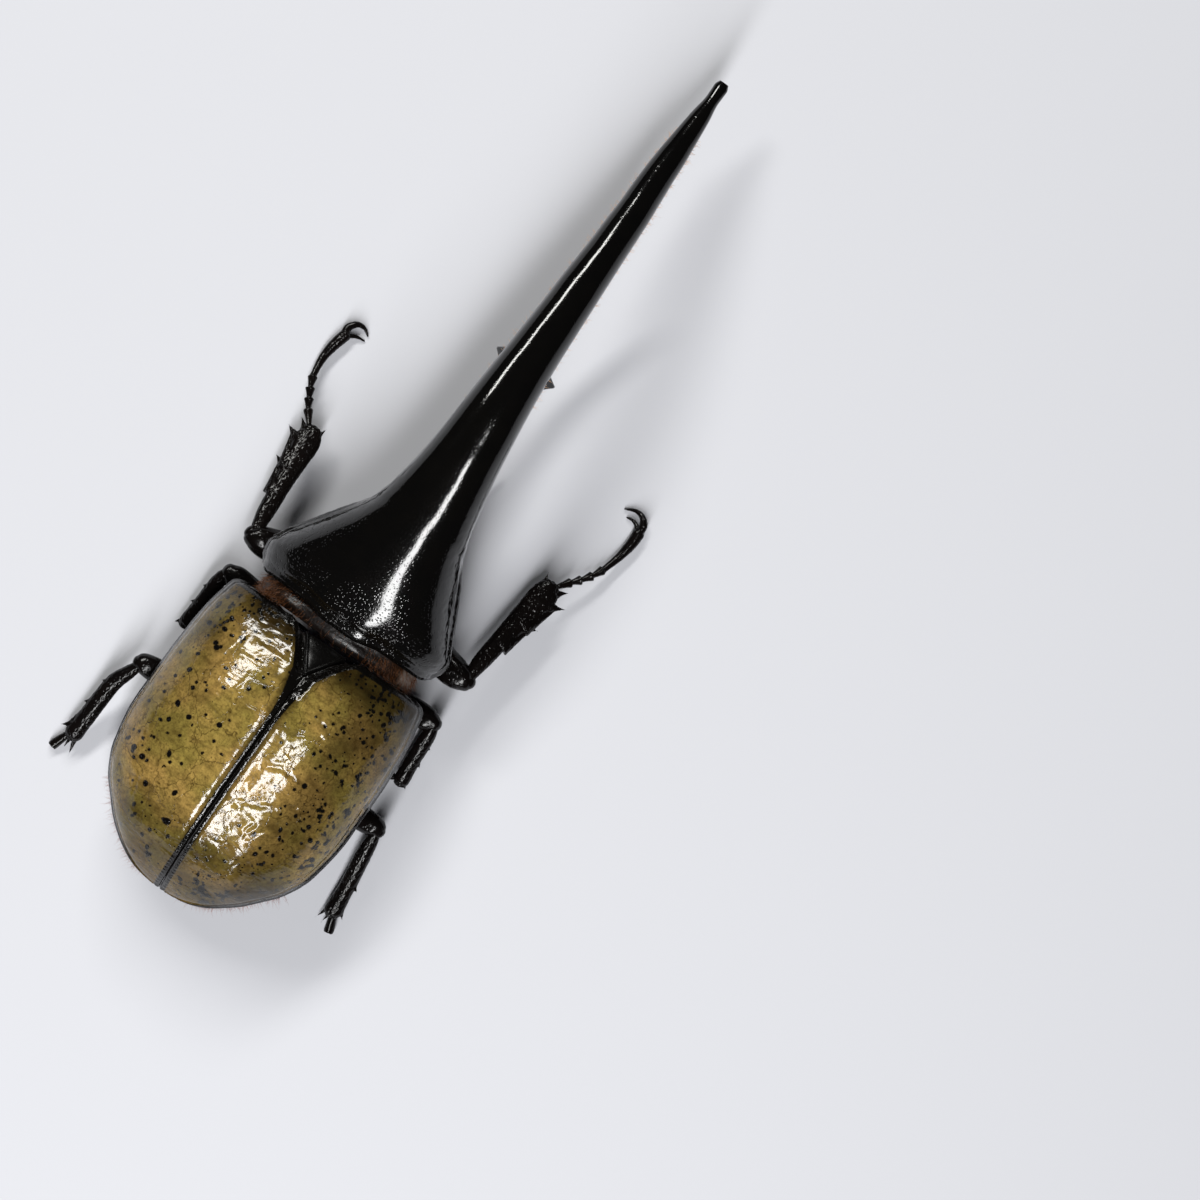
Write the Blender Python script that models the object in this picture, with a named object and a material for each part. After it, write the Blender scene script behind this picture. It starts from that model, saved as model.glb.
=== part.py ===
"""A male hercules beetle at life size, lying on its belly as a still model.

Sizes are in millimetres until place() turns them to metres. A station is the
distance forward of the pronotum's hind edge, x is to the beetle's left and z is
up from the floor. The long horn points to -Y and the origin lies on the belly's
flat. Each section row reads: station, half width, top, bottom, widest height.
Each limb row reads: x, station, z, half width, half height.
"""
import math

import bmesh
import bpy
import numpy as np
from mathutils import Vector

MM = 0.001
GAP = 0.3
ORIGIN_STATION = -8.0
WELD = 0.000002

# The pronotum runs into the long horn, and a thin cut parts them
HORN_CUT = 33.0
PRONOTUM_POWER = 2.1
PRONOTUM_SIDES = 24
CROWN_POWER = 2.5
PRONOTUM_STATIONS = (1.6, 2.7, 4.3, 7, 10, 13.5, 17, 20, 22.5, 24.5, 26, 27.5, 29.5)
LOBE = (3.0, 6.0, 1.0)
CORNER = (17.0, 2.5, 0.9)
HIND_EDGE_LENGTH = 8.0
LIP_SCALE = 0.93
LIP_STATION = 3.7
PRONOTUM = (
    (1.6, 18.7, 26.8, 3.6, 15.5), (2.7, 19.4, 27.9, 3.0, 15.5), (4.0, 20.1, 29.0, 2.5, 15.5),
    (7.0, 20.6, 31.2, 1.8, 15.5), (10.0, 19.5, 33.2, 1.5, 15.6), (14.0, 17.3, 35.3, 2.0, 16.2),
    (18.0, 15.0, 37.0, 3.5, 18.0), (22.0, 12.6, 38.3, 6.0, 21.5), (24.0, 11.4, 39.0, 9.5, 24.0),
    (26.0, 10.3, 39.6, 15.5, 26.8), (27.5, 9.8, 40.0, 20.0, 29.0), (29.5, 9.1, 40.5, 22.5, 30.8),
    (33.0, 8.3, 41.2, 24.2, 32.4))
HORN_POWER = 2.25
HORN_SIDES = 14
THORACIC_HORN = (
    (33.0, 8.3, 41.2, 24.2, 32.4), (43.0, 6.75, 42.2, 27.0, 34.6), (50.0, 6.1, 42.3, 28.5, 35.4),
    (60.0, 5.3, 41.6, 29.2, 35.0), (70.0, 4.6, 39.7, 28.8, 33.8), (80.0, 4.15, 36.9, 27.2, 31.6),
    (90.0, 3.65, 33.2, 24.6, 28.5), (100.0, 3.3, 28.9, 21.5, 24.9), (110.0, 2.75, 24.2, 18.3, 21.0),
    (115.0, 2.35, 21.8, 16.9, 19.2), (120.0, 1.9, 19.6, 15.6, 17.5), (124.0, 1.4, 17.9, 14.8, 16.2),
    (126.6, 1.45, 17.0, 14.5, 15.7), (127.8, 1.0, 16.5, 14.9, 15.7))
HORN_STEP = 6.0
HORN_ENDS = (124.0, 126.6, 127.8)
# How far the front body lies to the side of the middle line: station, offset
LEAN = (
    (12.0, 0.0), (18.0, -0.6), (24.0, -1.2), (29.0, -1.5), (36.0, -1.4), (48.0, -1.0), (60.0, -0.65),
    (80.0, -0.45), (96.0, -0.25), (108.0, 0.15), (127.8, 0.3))
LEANING = (
    "pronotum", "thoracic_horn", "head", "cephalic_horn", "labium", "eye_left", "eye_right",
    "mandible_left", "mandible_right", "antenna_left", "antenna_right")
HORN_TOOTH = ((3.6, 62.0, 31.6, 2.2, 1.7), (5.3, 62.4, 30.9, 1.4, 1.1), (6.7, 62.8, 30.2, 0.3, 0.3))

# Rows of the wing cases: station, half width, top, rim
ELYTRON_POWER = 2.2
ELYTRON_THICK = 1.0
ELYTRON_STEPS = 9
NORMAL_STEP = 0.05
NORMAL_TURN = 0.01
ELYTRA = (
    (-58.3, 1.6, 12.0, 11.0), (-57.7, 5.3, 13.3, 11.2), (-56.5, 8.4, 15.3, 11.6),
    (-54.8, 11.2, 17.7, 12.0), (-50.3, 16.2, 22.7, 12.9), (-45.2, 20.5, 26.9, 13.5),
    (-40.0, 22.7, 30.0, 13.9), (-30.0, 24.05, 33.1, 14.0), (-20.0, 23.9, 33.7, 14.2),
    (-10.0, 23.3, 31.4, 15.0), (-5.0, 22.4, 28.9, 16.0), (-2.5, 21.8, 27.2, 16.9),
    (-1.7, 20.9, 26.5, 17.4), (-1.2, 18.8, 26.0, 18.0))
ELYTRA_STATIONS = (-1.2, -1.7, -2.5, -4, -6.3, -8.7, -12, -17, -23, -29, -35, -40, -44.5, -48.5,
                   -52, -54.8, -56.6, -57.7, -58.3)
SCUTELLUM_TIP = -8.7
SCUTELLUM_BASE = -1.4
SCUTELLUM_HALF = 4.8
SCUTELLUM_DEPTHS = (0.2, 1.0)
SCUTELLUM_BLUNT = 0.4
SCUTELLUM_STEP = 1.4
SCUTELLUM_TIP_HALF = 0.25
SHOULDER_NOTCH = ((-3.6, 0.0), (-2.5, 0.7), (-1.7, 2.2), (-1.2, 3.4))

# The trunk fills the wing cases from below: station, bottom
TRUNK_DEPTH = ELYTRON_THICK + GAP + 0.1
TRUNK_POWER = 2.5
TRUNK_STEPS = 12
BELLY = (
    (-58.3, 9.4), (-57.0, 8.2), (-53.0, 6.2), (-48.0, 4.4), (-40.0, 2.4), (-30.0, 1.0),
    (-24.0, 0.2), (-20.0, -0.5), (-6.0, -0.5), (-3.0, 0.8), (-1.2, 3.2))
METATHORAX_STATIONS = (-1.5, -2.2, -4, -7, -11, -15, -19, -21.85)
VENTRITE_EDGES = (-29.5, -34, -38, -42, -46)
VENTRITE_STEP = 0.45
VENTRITE_SLOPE = 0.3
HIND_COXA_STATION = -25.5
ABDOMEN_ENDS = (-22.15, -49.85)
PYGIDIUM_STATIONS = (-50.15, -52.5, -54.5, -56.0, -57.0)
COLLAR = ((-0.9, 16.9, 24.2, 5.4, 15.5), (0.6, 17.2, 24.9, 5.0, 15.5), (3.2, 16.7, 24.8, 5.4, 15.5))

# Head, its horn, and what the head carries
HEAD_POWER = 2.2
HEAD = (
    (20.5, 4.5, 16.5, 10.5, 13.5), (22.5, 6.2, 18.6, 8.6, 13.6), (25.0, 7.2, 19.8, 7.6, 13.8),
    (28.0, 7.7, 20.3, 6.9, 14.0), (31.0, 7.2, 20.0, 6.8, 13.6), (34.0, 6.2, 17.6, 7.0, 12.0),
    (36.0, 5.2, 13.6, 7.2, 10.2), (37.6, 4.6, 11.1, 7.4, 9.4), (39.5, 3.9, 10.5, 7.8, 9.2),
    (41.0, 3.2, 9.9, 8.4, 9.1))
HEAD_STATIONS = (20.5, 22.5, 25, 28, 30, 32, 34, 35, 36, 37.6, 39.5, 41)
HEAD_SIDES = 16
CEPHALIC_CUT = 38.0
CEPHALIC_HORN = (
    (0, 30.0, 15.6, 2.7, 3.2), (0, 36.0, 15.0, 2.7, 3.4), (0, 42.0, 14.2, 2.3, 2.8),
    (0, 54.0, 13.6, 1.9, 2.3), (0, 66.0, 14.2, 1.7, 2.1), (0, 76.0, 16.0, 1.4, 1.7),
    (0, 84.0, 18.6, 1.0, 1.25), (0, 88.5, 20.7, 0.6, 0.8), (0, 90.8, 21.9, 0.2, 0.25))
CEPHALIC_TEETH = ((56.0, 14.6, 2.6, 1.0), (65.0, 15.2, 3.6, 1.3), (75.0, 16.8, 2.2, 0.8))
TOOTH_LEAN = 0.9
TOOTH_TIP = (0.15, 0.2)
EYE_CENTRE = (6.3, 29.3, 14.2)
EYE_RADIUS = 1.9
CANTHUS = ((5.2, 33.0, 14.2, 1.6, 0.7), (7.2, 31.4, 14.3, 1.0, 0.6), (8.1, 29.8, 14.4, 0.45, 0.4))
MANDIBLE = (
    (2.0, 36.6, 6.9, 1.3, 1.0), (3.4, 39.5, 6.5, 1.25, 0.9), (3.3, 41.8, 6.7, 0.8, 0.7),
    (2.3, 43.1, 7.0, 0.3, 0.35))
LABIUM = ((0, 30.6, 6.3, 2.0, 0.9), (0, 34.0, 5.5, 2.5, 1.0), (0, 38.2, 5.3, 1.7, 0.8),
          (0, 39.6, 5.4, 1.0, 0.5))
PALP = ((1.3, 36.4, 5.0, 0.6, 0.5), (3.0, 38.6, 4.2, 0.6, 0.5), (3.9, 41.0, 3.9, 0.45, 0.4),
        (4.1, 43.0, 4.0, 0.6, 0.5), (4.0, 43.9, 4.1, 0.3, 0.3))
SCAPE = ((5.4, 33.2, 8.6, 0.5, 0.5), (6.4, 31.8, 6.6, 0.6, 0.6), (6.9, 30.4, 5.2, 0.85, 0.85))
FUNICLE_START = (6.9, 30.4, 5.2)
FUNICLE_STEP = (-0.12, -0.62, -0.1)
FUNICLE_BEADS = 6
BEAD_HALVES = (0.4, 0.62)
CLUB_LENGTH = 2.3
CLUB_LEAVES = 3
LEAF_SPACING = 0.95
LEAF_RADII = (0.62, CLUB_LENGTH, 1.1)

# Legs: centre and radii of each coxa, and rows of the limbs
COXAE = {
    "front": ((8.0, 9.0, 5.9), (4.6, 3.8, 4.5)),
    "mid": ((7.2, -5.6, 4.2), (4.8, 3.4, 3.6)),
    "hind": ((9.0, -25.3, 4.3), (7.6, 2.9, 3.7))}
FEMORA = {
    "front_left": (
        (10.2, 9.0, 6.3, 2.6, 2.3), (15.0, 8.4, 7.6, 3.2, 2.7), (20.8, 6.8, 9.6, 3.2, 2.7),
        (24.0, 6.6, 10.4, 2.3, 2.2), (25.1, 6.8, 10.6, 1.3, 1.3)),
    "front_right": (
        (-10.2, 9.0, 6.3, 2.6, 2.3), (-15.0, 8.6, 7.6, 3.1, 2.7), (-21.6, 7.4, 9.6, 3.1, 2.7),
        (-25.0, 7.3, 10.4, 2.2, 2.2), (-26.1, 7.5, 10.6, 1.2, 1.3)),
    "mid_left": (
        (9.6, -4.9, 4.6, 2.3, 2.1), (14.0, -3.9, 5.8, 2.7, 2.4), (18.0, -2.8, 7.0, 2.7, 2.4),
        (22.3, -2.1, 8.4, 2.5, 2.2), (24.3, -1.7, 9.0, 1.5, 1.5)),
    "mid_right": (
        (-9.6, -5.0, 4.6, 2.3, 2.1), (-14.0, -4.3, 5.8, 2.6, 2.4), (-18.0, -3.4, 7.0, 2.6, 2.4),
        (-23.0, -3.0, 8.4, 2.4, 2.2), (-25.3, -3.0, 9.0, 1.4, 1.5)),
    "hind_left": (
        (14.0, -25.4, 5.3, 2.4, 2.1), (18.0, -25.4, 6.6, 2.6, 2.2), (23.4, -25.3, 8.0, 2.5, 2.2),
        (27.0, -25.5, 8.9, 2.1, 2.0), (28.4, -26.0, 9.0, 1.2, 1.2)),
    "hind_right": (
        (-14.0, -25.4, 5.3, 2.4, 2.1), (-18.0, -25.5, 6.6, 2.6, 2.2), (-23.6, -25.6, 8.0, 2.5, 2.2),
        (-27.0, -25.5, 8.9, 2.1, 2.0), (-28.4, -26.0, 9.0, 1.2, 1.2))}
TIBIAE = {
    "front_left": (
        (24.1, 6.9, 10.8, 1.0, 1.0), (24.4, 9.4, 10.3, 1.45, 1.25), (24.7, 12.0, 9.8, 1.75, 1.3),
        (25.3, 18.0, 8.7, 1.85, 1.3), (25.8, 23.0, 7.8, 1.95, 1.3), (26.1, 26.4, 7.2, 2.2, 1.25),
        (26.7, 28.8, 6.8, 2.2, 1.2), (27.3, 30.0, 6.6, 1.6, 0.9)),
    "front_right": (
        (-25.1, 7.6, 10.8, 1.0, 1.0), (-25.1, 10.0, 10.3, 1.45, 1.25), (-25.3, 12.6, 9.9, 1.75, 1.3),
        (-26.0, 18.4, 8.7, 1.95, 1.3), (-26.7, 24.0, 7.7, 2.15, 1.3), (-27.6, 28.6, 7.1, 2.4, 1.25),
        (-28.1, 31.0, 6.8, 2.3, 1.2), (-28.6, 32.2, 6.6, 1.7, 0.9)),
    "mid_left": (
        (23.8, -1.8, 9.2, 1.0, 1.0), (24.5, -4.4, 8.3, 1.5, 1.25), (24.9, -10.4, 5.9, 1.55, 1.3),
        (25.2, -14.2, 4.3, 1.6, 1.3), (25.3, -15.4, 3.9, 1.3, 0.9)),
    "mid_right": (
        (-24.8, -3.0, 9.2, 1.0, 1.0), (-25.1, -5.8, 8.3, 1.5, 1.25), (-25.4, -11.6, 5.7, 1.5, 1.3),
        (-25.7, -15.2, 4.3, 1.6, 1.3), (-25.8, -16.3, 3.9, 1.3, 0.9)),
    "hind_left": (
        (27.6, -26.4, 9.0, 1.0, 1.0), (28.6, -28.8, 8.1, 1.4, 1.25), (29.7, -31.6, 7.1, 1.65, 1.35),
        (30.1, -35.0, 6.0, 1.7, 1.35), (30.3, -38.6, 5.0, 1.75, 1.35), (30.5, -42.0, 4.0, 1.75, 1.35),
        (30.7, -44.4, 3.3, 1.85, 1.3), (30.8, -45.3, 3.0, 1.5, 0.9)),
    "hind_right": (
        (-27.7, -26.3, 9.0, 1.0, 1.0), (-27.9, -28.8, 8.1, 1.4, 1.25), (-28.2, -31.8, 7.0, 1.6, 1.35),
        (-28.7, -35.4, 5.7, 1.6, 1.35), (-29.1, -39.0, 4.6, 1.6, 1.35), (-29.4, -42.2, 3.6, 1.8, 1.3),
        (-29.5, -43.7, 3.2, 1.8, 1.2), (-29.6, -44.4, 3.0, 1.4, 0.9))}
# Teeth and spurs of each shin: root, tip and root radius
SPINES = {
    "front_left": (
        ((26.4, 20.4, 8.1), (29.4, 21.6, 7.4), 1.2), ((27.0, 26.2, 7.1), (31.0, 27.7, 6.0), 1.3),
        ((27.6, 29.2, 6.6), (29.9, 30.3, 5.8), 0.8), ((25.5, 28.2, 6.9), (25.0, 30.8, 6.2), 0.9)),
    "front_right": (
        ((-27.2, 21.6, 8.0), (-30.5, 22.8, 7.4), 1.2), ((-28.4, 27.6, 7.1), (-32.4, 29.1, 6.1), 1.3),
        ((-29.0, 31.2, 6.6), (-31.4, 32.2, 6.0), 0.8), ((-26.9, 30.4, 6.9), (-26.4, 33.2, 6.3), 0.9)),
    "mid_left": (
        ((24.9, -5.8, 7.8), (26.8, -7.0, 7.4), 0.8), ((25.2, -9.4, 6.3), (27.1, -10.9, 5.7), 0.9),
        ((25.4, -13.8, 4.4), (27.6, -16.2, 3.4), 0.8), ((24.6, -14.2, 3.8), (24.2, -16.8, 2.6), 0.6)),
    "mid_right": (
        ((-25.3, -6.6, 7.8), (-27.2, -7.7, 7.4), 0.8), ((-25.7, -10.4, 6.2), (-27.5, -11.8, 5.6), 0.9),
        ((-26.0, -14.6, 4.5), (-27.5, -17.0, 3.4), 0.8), ((-25.2, -15.0, 3.8), (-24.9, -17.4, 2.6), 0.6)),
    "hind_left": (
        ((30.2, -31.6, 6.9), (32.2, -33.0, 6.5), 0.7), ((30.7, -36.8, 5.5), (32.8, -38.4, 5.1), 0.9),
        ((31.2, -42.6, 3.9), (33.9, -44.6, 3.0), 1.0), ((30.7, -44.2, 2.8), (30.9, -48.4, 0.5), 0.7),
        ((30.2, -44.0, 2.8), (29.2, -49.0, 0.5), 0.75)),
    "hind_right": (
        ((-29.2, -36.6, 5.3), (-31.4, -38.2, 4.9), 0.9), ((-30.1, -41.8, 3.6), (-32.2, -44.5, 2.2), 0.8),
        ((-28.8, -42.8, 2.8), (-27.3, -46.8, 0.8), 0.75), ((-29.4, -43.4, 2.6), (-28.8, -47.0, 0.6), 0.6))}
# Joints of each foot, from the shin outward
TARSI = {
    "front_left": (
        (27.8, 29.8, 6.2), (29.8, 32.2, 4.9), (30.9, 34.0, 4.2), (31.9, 35.8, 3.6),
        (32.8, 37.9, 2.9), (33.3, 41.6, 2.1), (33.0, 45.0, 1.8), (32.3, 47.9, 1.7)),
    "front_right": (
        (-28.9, 32.0, 6.2), (-30.5, 34.1, 4.9), (-31.8, 35.6, 4.2), (-33.1, 37.5, 3.5),
        (-34.1, 39.6, 2.8), (-35.1, 43.2, 2.1), (-35.6, 46.6, 1.8), (-35.6, 49.2, 1.7)),
    "mid_left": (
        (24.4, -15.2, 3.3), (22.6, -17.0, 2.5), (21.0, -18.0, 2.0), (19.5, -19.2, 1.7),
        (18.4, -20.6, 1.5), (17.6, -22.4, 1.4), (17.1, -24.4, 1.3), (17.0, -26.4, 1.3)),
    "mid_right": (
        (-25.0, -15.6, 3.3), (-22.8, -16.3, 2.5), (-21.0, -17.0, 2.0), (-19.4, -18.2, 1.7),
        (-18.2, -19.7, 1.5), (-17.5, -21.6, 1.4), (-17.1, -23.8, 1.3), (-17.0, -26.0, 1.3))}
CLAWS = {
    "front_left": (
        ((32.4, 47.3, 1.7, 0.8, 0.8), (32.7, 49.3, 1.6, 0.8, 0.75), (31.6, 50.8, 1.3, 0.6, 0.6),
         (30.1, 51.0, 0.9, 0.4, 0.45), (28.7, 50.1, 0.3, 0.15, 0.35)),
        ((32.2, 47.2, 1.4, 0.6, 0.6), (31.5, 48.2, 1.1, 0.5, 0.55), (30.3, 48.8, 0.7, 0.35, 0.45),
         (28.7, 49.0, 0.25, 0.15, 0.3))),
    "front_right": (
        ((-35.6, 48.8, 1.7, 0.8, 0.8), (-35.5, 50.9, 1.7, 0.8, 0.75), (-34.3, 52.2, 1.4, 0.6, 0.6),
         (-32.6, 52.4, 0.9, 0.4, 0.45), (-30.6, 51.5, 0.3, 0.15, 0.35)),
        ((-35.4, 48.7, 1.4, 0.6, 0.6), (-34.6, 50.0, 1.1, 0.5, 0.55), (-33.3, 50.6, 0.7, 0.35, 0.45),
         (-31.9, 50.4, 0.25, 0.15, 0.3))),
    "mid_left": (
        ((17.0, -26.0, 1.2, 0.6, 0.6), (17.8, -27.8, 1.0, 0.5, 0.5), (18.3, -29.6, 0.4, 0.15, 0.4)),
        ((17.0, -26.0, 1.2, 0.6, 0.6), (16.2, -27.8, 1.0, 0.5, 0.5), (15.9, -29.6, 0.4, 0.15, 0.4))),
    "mid_right": (
        ((-17.0, -25.6, 1.2, 0.6, 0.6), (-17.8, -27.4, 1.0, 0.5, 0.5), (-18.3, -29.2, 0.4, 0.15, 0.4)),
        ((-17.0, -25.6, 1.2, 0.6, 0.6), (-16.2, -27.4, 1.0, 0.5, 0.5), (-15.9, -29.2, 0.4, 0.15, 0.4)))}
# The hind feet are broken off after their first segment
STUMPS = {
    "hind_left": (
        (31.2, -44.0, 2.7, 0.5, 0.5), (31.9, -46.2, 1.9, 0.8, 0.75), (32.7, -48.3, 1.0, 1.0, 1.0),
        (32.9, -49.1, 0.9, 0.9, 0.9)),
    "hind_right": (
        (-29.9, -43.2, 2.7, 0.5, 0.5), (-30.3, -45.2, 1.9, 0.85, 0.75), (-30.9, -47.0, 1.0, 1.0, 1.0),
        (-31.1, -47.8, 0.9, 0.9, 0.9))}

FOOT_SEGMENTS = 4
FOOT_SWELL = ((0.0, 0.45, 0.45), (0.5, 0.62, 0.58), (0.86, 0.82, 0.75))
CLAW_JOINT_HALVES = (0.5, 0.62, 0.8, 1.1)
LEG_SIDES = 8
FOOT_SIDES = 6

JET = ((0.012, 0.011, 0.011), 0.28)
OLIVE = ((0.26, 0.17, 0.035), 0.25)
BROWN = ((0.07, 0.028, 0.012), 0.6)
EYE_BLACK = ((0.01, 0.008, 0.006), 0.12)


def place(x, station, z):
    """Turn millimetres along the body to a point in metres."""
    return Vector((x, ORIGIN_STATION - station, z)) * MM


def smooth(rows, at):
    """Read the rows at a station, on a smooth curve that never overshoots them."""
    table = np.array(sorted(rows), dtype=float)
    stations, values = table[:, 0], table[:, 1:]
    spans = np.diff(stations)[:, None]
    rises = np.diff(values, axis=0) / spans
    slopes = np.vstack((rises[:1], np.zeros((len(rises) - 1, values.shape[1])), rises[-1:]))
    rising = rises[:-1] * rises[1:] > 0
    total = np.where(rising, rises[:-1] + rises[1:], 1.0)
    slopes[1:-1] = np.where(rising, 2 * rises[:-1] * rises[1:] / total, 0.0)
    i = int(np.clip(np.searchsorted(stations, at) - 1, 0, len(spans) - 1))
    span = spans[i, 0]
    t = min(max((at - stations[i]) / span, 0.0), 1.0)
    return ((1 + 2 * t) * (1 - t) ** 2 * values[i] + t * (1 - t) ** 2 * span * slopes[i]
            + t * t * (3 - 2 * t) * values[i + 1] + t * t * (t - 1) * span * slopes[i + 1])


def even(start, end, step):
    """Stations from start to end, about a step apart."""
    count = max(1, round(abs(end - start) / step))
    return [start + (end - start) * i / count for i in range(count + 1)]


def oval(half, top, bottom, widest, power, sides, crown=None):
    """Points (x, z) round a squarish oval; its upper half may have a power of its own, the crown."""
    points = []
    for i in range(sides):
        turn = 2 * math.pi * i / sides
        c, s = math.cos(turn), math.sin(turn)
        bulge = 2 / (crown if crown and s > 0 else power)
        x = half * math.copysign(abs(c) ** bulge, c)
        reach = abs(s) ** bulge
        points.append((x, widest + reach * (top - widest) if s > 0 else widest - reach * (widest - bottom)))
    return points


def finish_material(name, finish):
    """Make a Principled material from a colour and a roughness."""
    material = bpy.data.materials.new(name)
    material.use_nodes = True
    shader = material.node_tree.nodes["Principled BSDF"]
    colour, roughness = finish
    shader.inputs["Base Color"].default_value = (*colour, 1.0)
    shader.inputs["Roughness"].default_value = roughness
    shader.inputs["Metallic"].default_value = 0.0
    return material


def to_object(name, bm, finish=None):
    """Turn a closed bmesh into an object of the beetle's collection."""
    bmesh.ops.recalc_face_normals(bm, faces=bm.faces)
    mesh = bpy.data.meshes.new(name)
    bm.to_mesh(mesh)
    bm.free()
    obj = bpy.data.objects.new(name, mesh)
    bpy.data.collections["hercules_beetle"].objects.link(obj)
    if finish:
        mesh.materials.append(finish_material(name, finish))
    return obj


def quad(bm, a, b, c, d):
    """Two triangles, always split from a to c."""
    bm.faces.new((a, b, c))
    bm.faces.new((a, c, d))


def loft(name, rings, finish=None):
    """Skin closed rings of points into a solid, each end closed by a fan."""
    bm = bmesh.new()
    grid = [[bm.verts.new(place(*point)) for point in ring] for ring in rings]
    for near, far in zip(grid, grid[1:]):
        for i in range(len(near)):
            j = (i + 1) % len(near)
            quad(bm, near[i], near[j], far[j], far[i])
    for ring, verts in ((rings[0], grid[0]), (rings[-1], grid[-1])):
        middle = bm.verts.new(place(*np.mean(np.array(ring, dtype=float), axis=0)))
        for i in range(len(verts)):
            bm.faces.new((verts[i], verts[(i + 1) % len(verts)], middle))
    return to_object(name, bm, finish)


def shell(name, outer, inner, finish):
    """Close a thin plate from two grids of points that match one for one."""
    bm = bmesh.new()
    top = [[bm.verts.new(place(*p)) for p in row] for row in outer]
    low = [[bm.verts.new(place(*p)) for p in row] for row in inner]
    rows, columns = len(top), len(top[0])
    for sheet in (top, low):
        for i in range(rows - 1):
            for j in range(columns - 1):
                quad(bm, sheet[i][j], sheet[i][j + 1], sheet[i + 1][j + 1], sheet[i + 1][j])
    for i in range(rows - 1):
        for j in (0, columns - 1):
            quad(bm, top[i][j], top[i + 1][j], low[i + 1][j], low[i][j])
    for j in range(columns - 1):
        for i in (0, rows - 1):
            quad(bm, top[i][j], top[i][j + 1], low[i][j + 1], low[i][j])
    return to_object(name, bm, finish)


def spline(rows, steps):
    """Points on a smooth curve through the rows, with the rows themselves kept."""
    knots = [np.array(row, dtype=float) for row in rows]
    knots = [2 * knots[0] - knots[1]] + knots + [2 * knots[-1] - knots[-2]]
    curve = []
    for a, b, c, d in zip(knots, knots[1:], knots[2:], knots[3:]):
        for k in range(steps):
            t = k / steps
            curve.append(0.5 * (2 * b + (c - a) * t + (2 * a - 5 * b + 4 * c - d) * t * t
                                + (3 * b - a - 3 * c + d) * t ** 3))
    curve.append(knots[-2])
    return curve


def limb(name, rows, sides=8, steps=2, grow=0.0, finish=None):
    """A tapered tube along rows of x, station, z, half width and half height."""
    curve = spline(rows, steps)
    rings = []
    for i, row in enumerate(curve):
        ahead = Vector(curve[min(i + 1, len(curve) - 1)][:3]) - Vector(curve[max(i - 1, 0)][:3])
        ahead.normalize()
        side = ahead.cross(Vector((0, 0, 1))).normalized()
        lift = side.cross(ahead)
        middle = Vector(row[:3])
        if i == 0:
            middle -= ahead * grow
        if i == len(curve) - 1:
            middle += ahead * grow
        ring = []
        for k in range(sides):
            turn = 2 * math.pi * k / sides
            ring.append(middle + side * (row[3] + grow) * math.cos(turn)
                        + lift * (row[4] + grow) * math.sin(turn))
        rings.append(ring)
    return loft(name, rings, finish)


def spine(name, root, tip, radius, sides=5):
    """A curved thorn from a root sunk in its node out to a tip."""
    root, tip = Vector(root), Vector(tip)
    middle = root.lerp(tip, 0.55)
    rows = ((*root, radius, radius * 0.8), (*middle, radius * 0.6, radius * 0.5), (*tip, 0.15, 0.15))
    return limb(name, rows, sides, 1)


def ball(name, centre, radii, grow=0.0, finish=None, turns=12, bands=6):
    """An ellipsoid with its axes along x, the body and z."""
    bm = bmesh.new()
    bmesh.ops.create_uvsphere(bm, u_segments=turns, v_segments=bands, radius=1.0)
    for vert in bm.verts:
        point = [c + v * (r + grow) for c, v, r in zip(centre, vert.co, radii)]
        vert.co = place(*point)
    bmesh.ops.triangulate(bm, faces=bm.faces)
    return to_object(name, bm, finish)


def shell_volume(faces):
    """Six times the volume inside a group of triangles or polygons."""
    total = 0.0
    for face in faces:
        points = [vert.co for vert in face.verts]
        for b, c in zip(points[1:], points[2:]):
            total += points[0].dot(b.cross(c))
    return abs(total)


def keep_largest(bm):
    """Delete all but the largest closed surface."""
    left = set(bm.faces)
    groups = []
    while left:
        stack = [left.pop()]
        group = list(stack)
        while stack:
            for edge in stack.pop().edges:
                for face in edge.link_faces:
                    if face in left:
                        left.remove(face)
                        stack.append(face)
                        group.append(face)
        groups.append(group)
    groups.sort(key=shell_volume)
    loose = [face for group in groups[:-1] for face in group]
    bmesh.ops.delete(bm, geom=loose, context="FACES")


def combine(base, pieces, operation, solver="EXACT"):
    """Add the pieces to the base, or cut them out of it, and remove them."""
    group = bpy.data.collections.new(base.name + "_tools")
    bpy.context.scene.collection.children.link(group)
    for piece in pieces:
        group.objects.link(piece)
        piece.hide_render = True
        piece.display_type = "WIRE"
    modifier = base.modifiers.new(operation.lower(), "BOOLEAN")
    modifier.operation = operation
    modifier.solver = solver
    modifier.operand_type = "COLLECTION"
    modifier.collection = group
    materials = list(base.data.materials)
    graph = bpy.context.evaluated_depsgraph_get()
    joined = bpy.data.meshes.new_from_object(base.evaluated_get(graph))
    base.modifiers.clear()
    old = base.data
    base.data = joined
    joined.materials.clear()
    for material in materials:
        joined.materials.append(material)
    joined.polygons.foreach_set("material_index", [0] * len(joined.polygons))
    joined.name = base.name
    bpy.data.meshes.remove(old)
    for piece in pieces:
        bpy.data.objects.remove(piece)
    bpy.data.collections.remove(group)
    tidy(base)
    return base


def tidy(obj):
    """Weld hair-thin slivers, keep one closed surface, and split it into triangles."""
    bm = bmesh.new()
    bm.from_mesh(obj.data)
    bmesh.ops.remove_doubles(bm, verts=bm.verts, dist=WELD)
    bmesh.ops.dissolve_degenerate(bm, edges=bm.edges, dist=WELD)
    keep_largest(bm)
    loose = [vert for vert in bm.verts if not vert.link_faces]
    bmesh.ops.delete(bm, geom=loose, context="VERTS")
    bmesh.ops.triangulate(bm, faces=bm.faces)
    bm.to_mesh(obj.data)
    bm.free()


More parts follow.
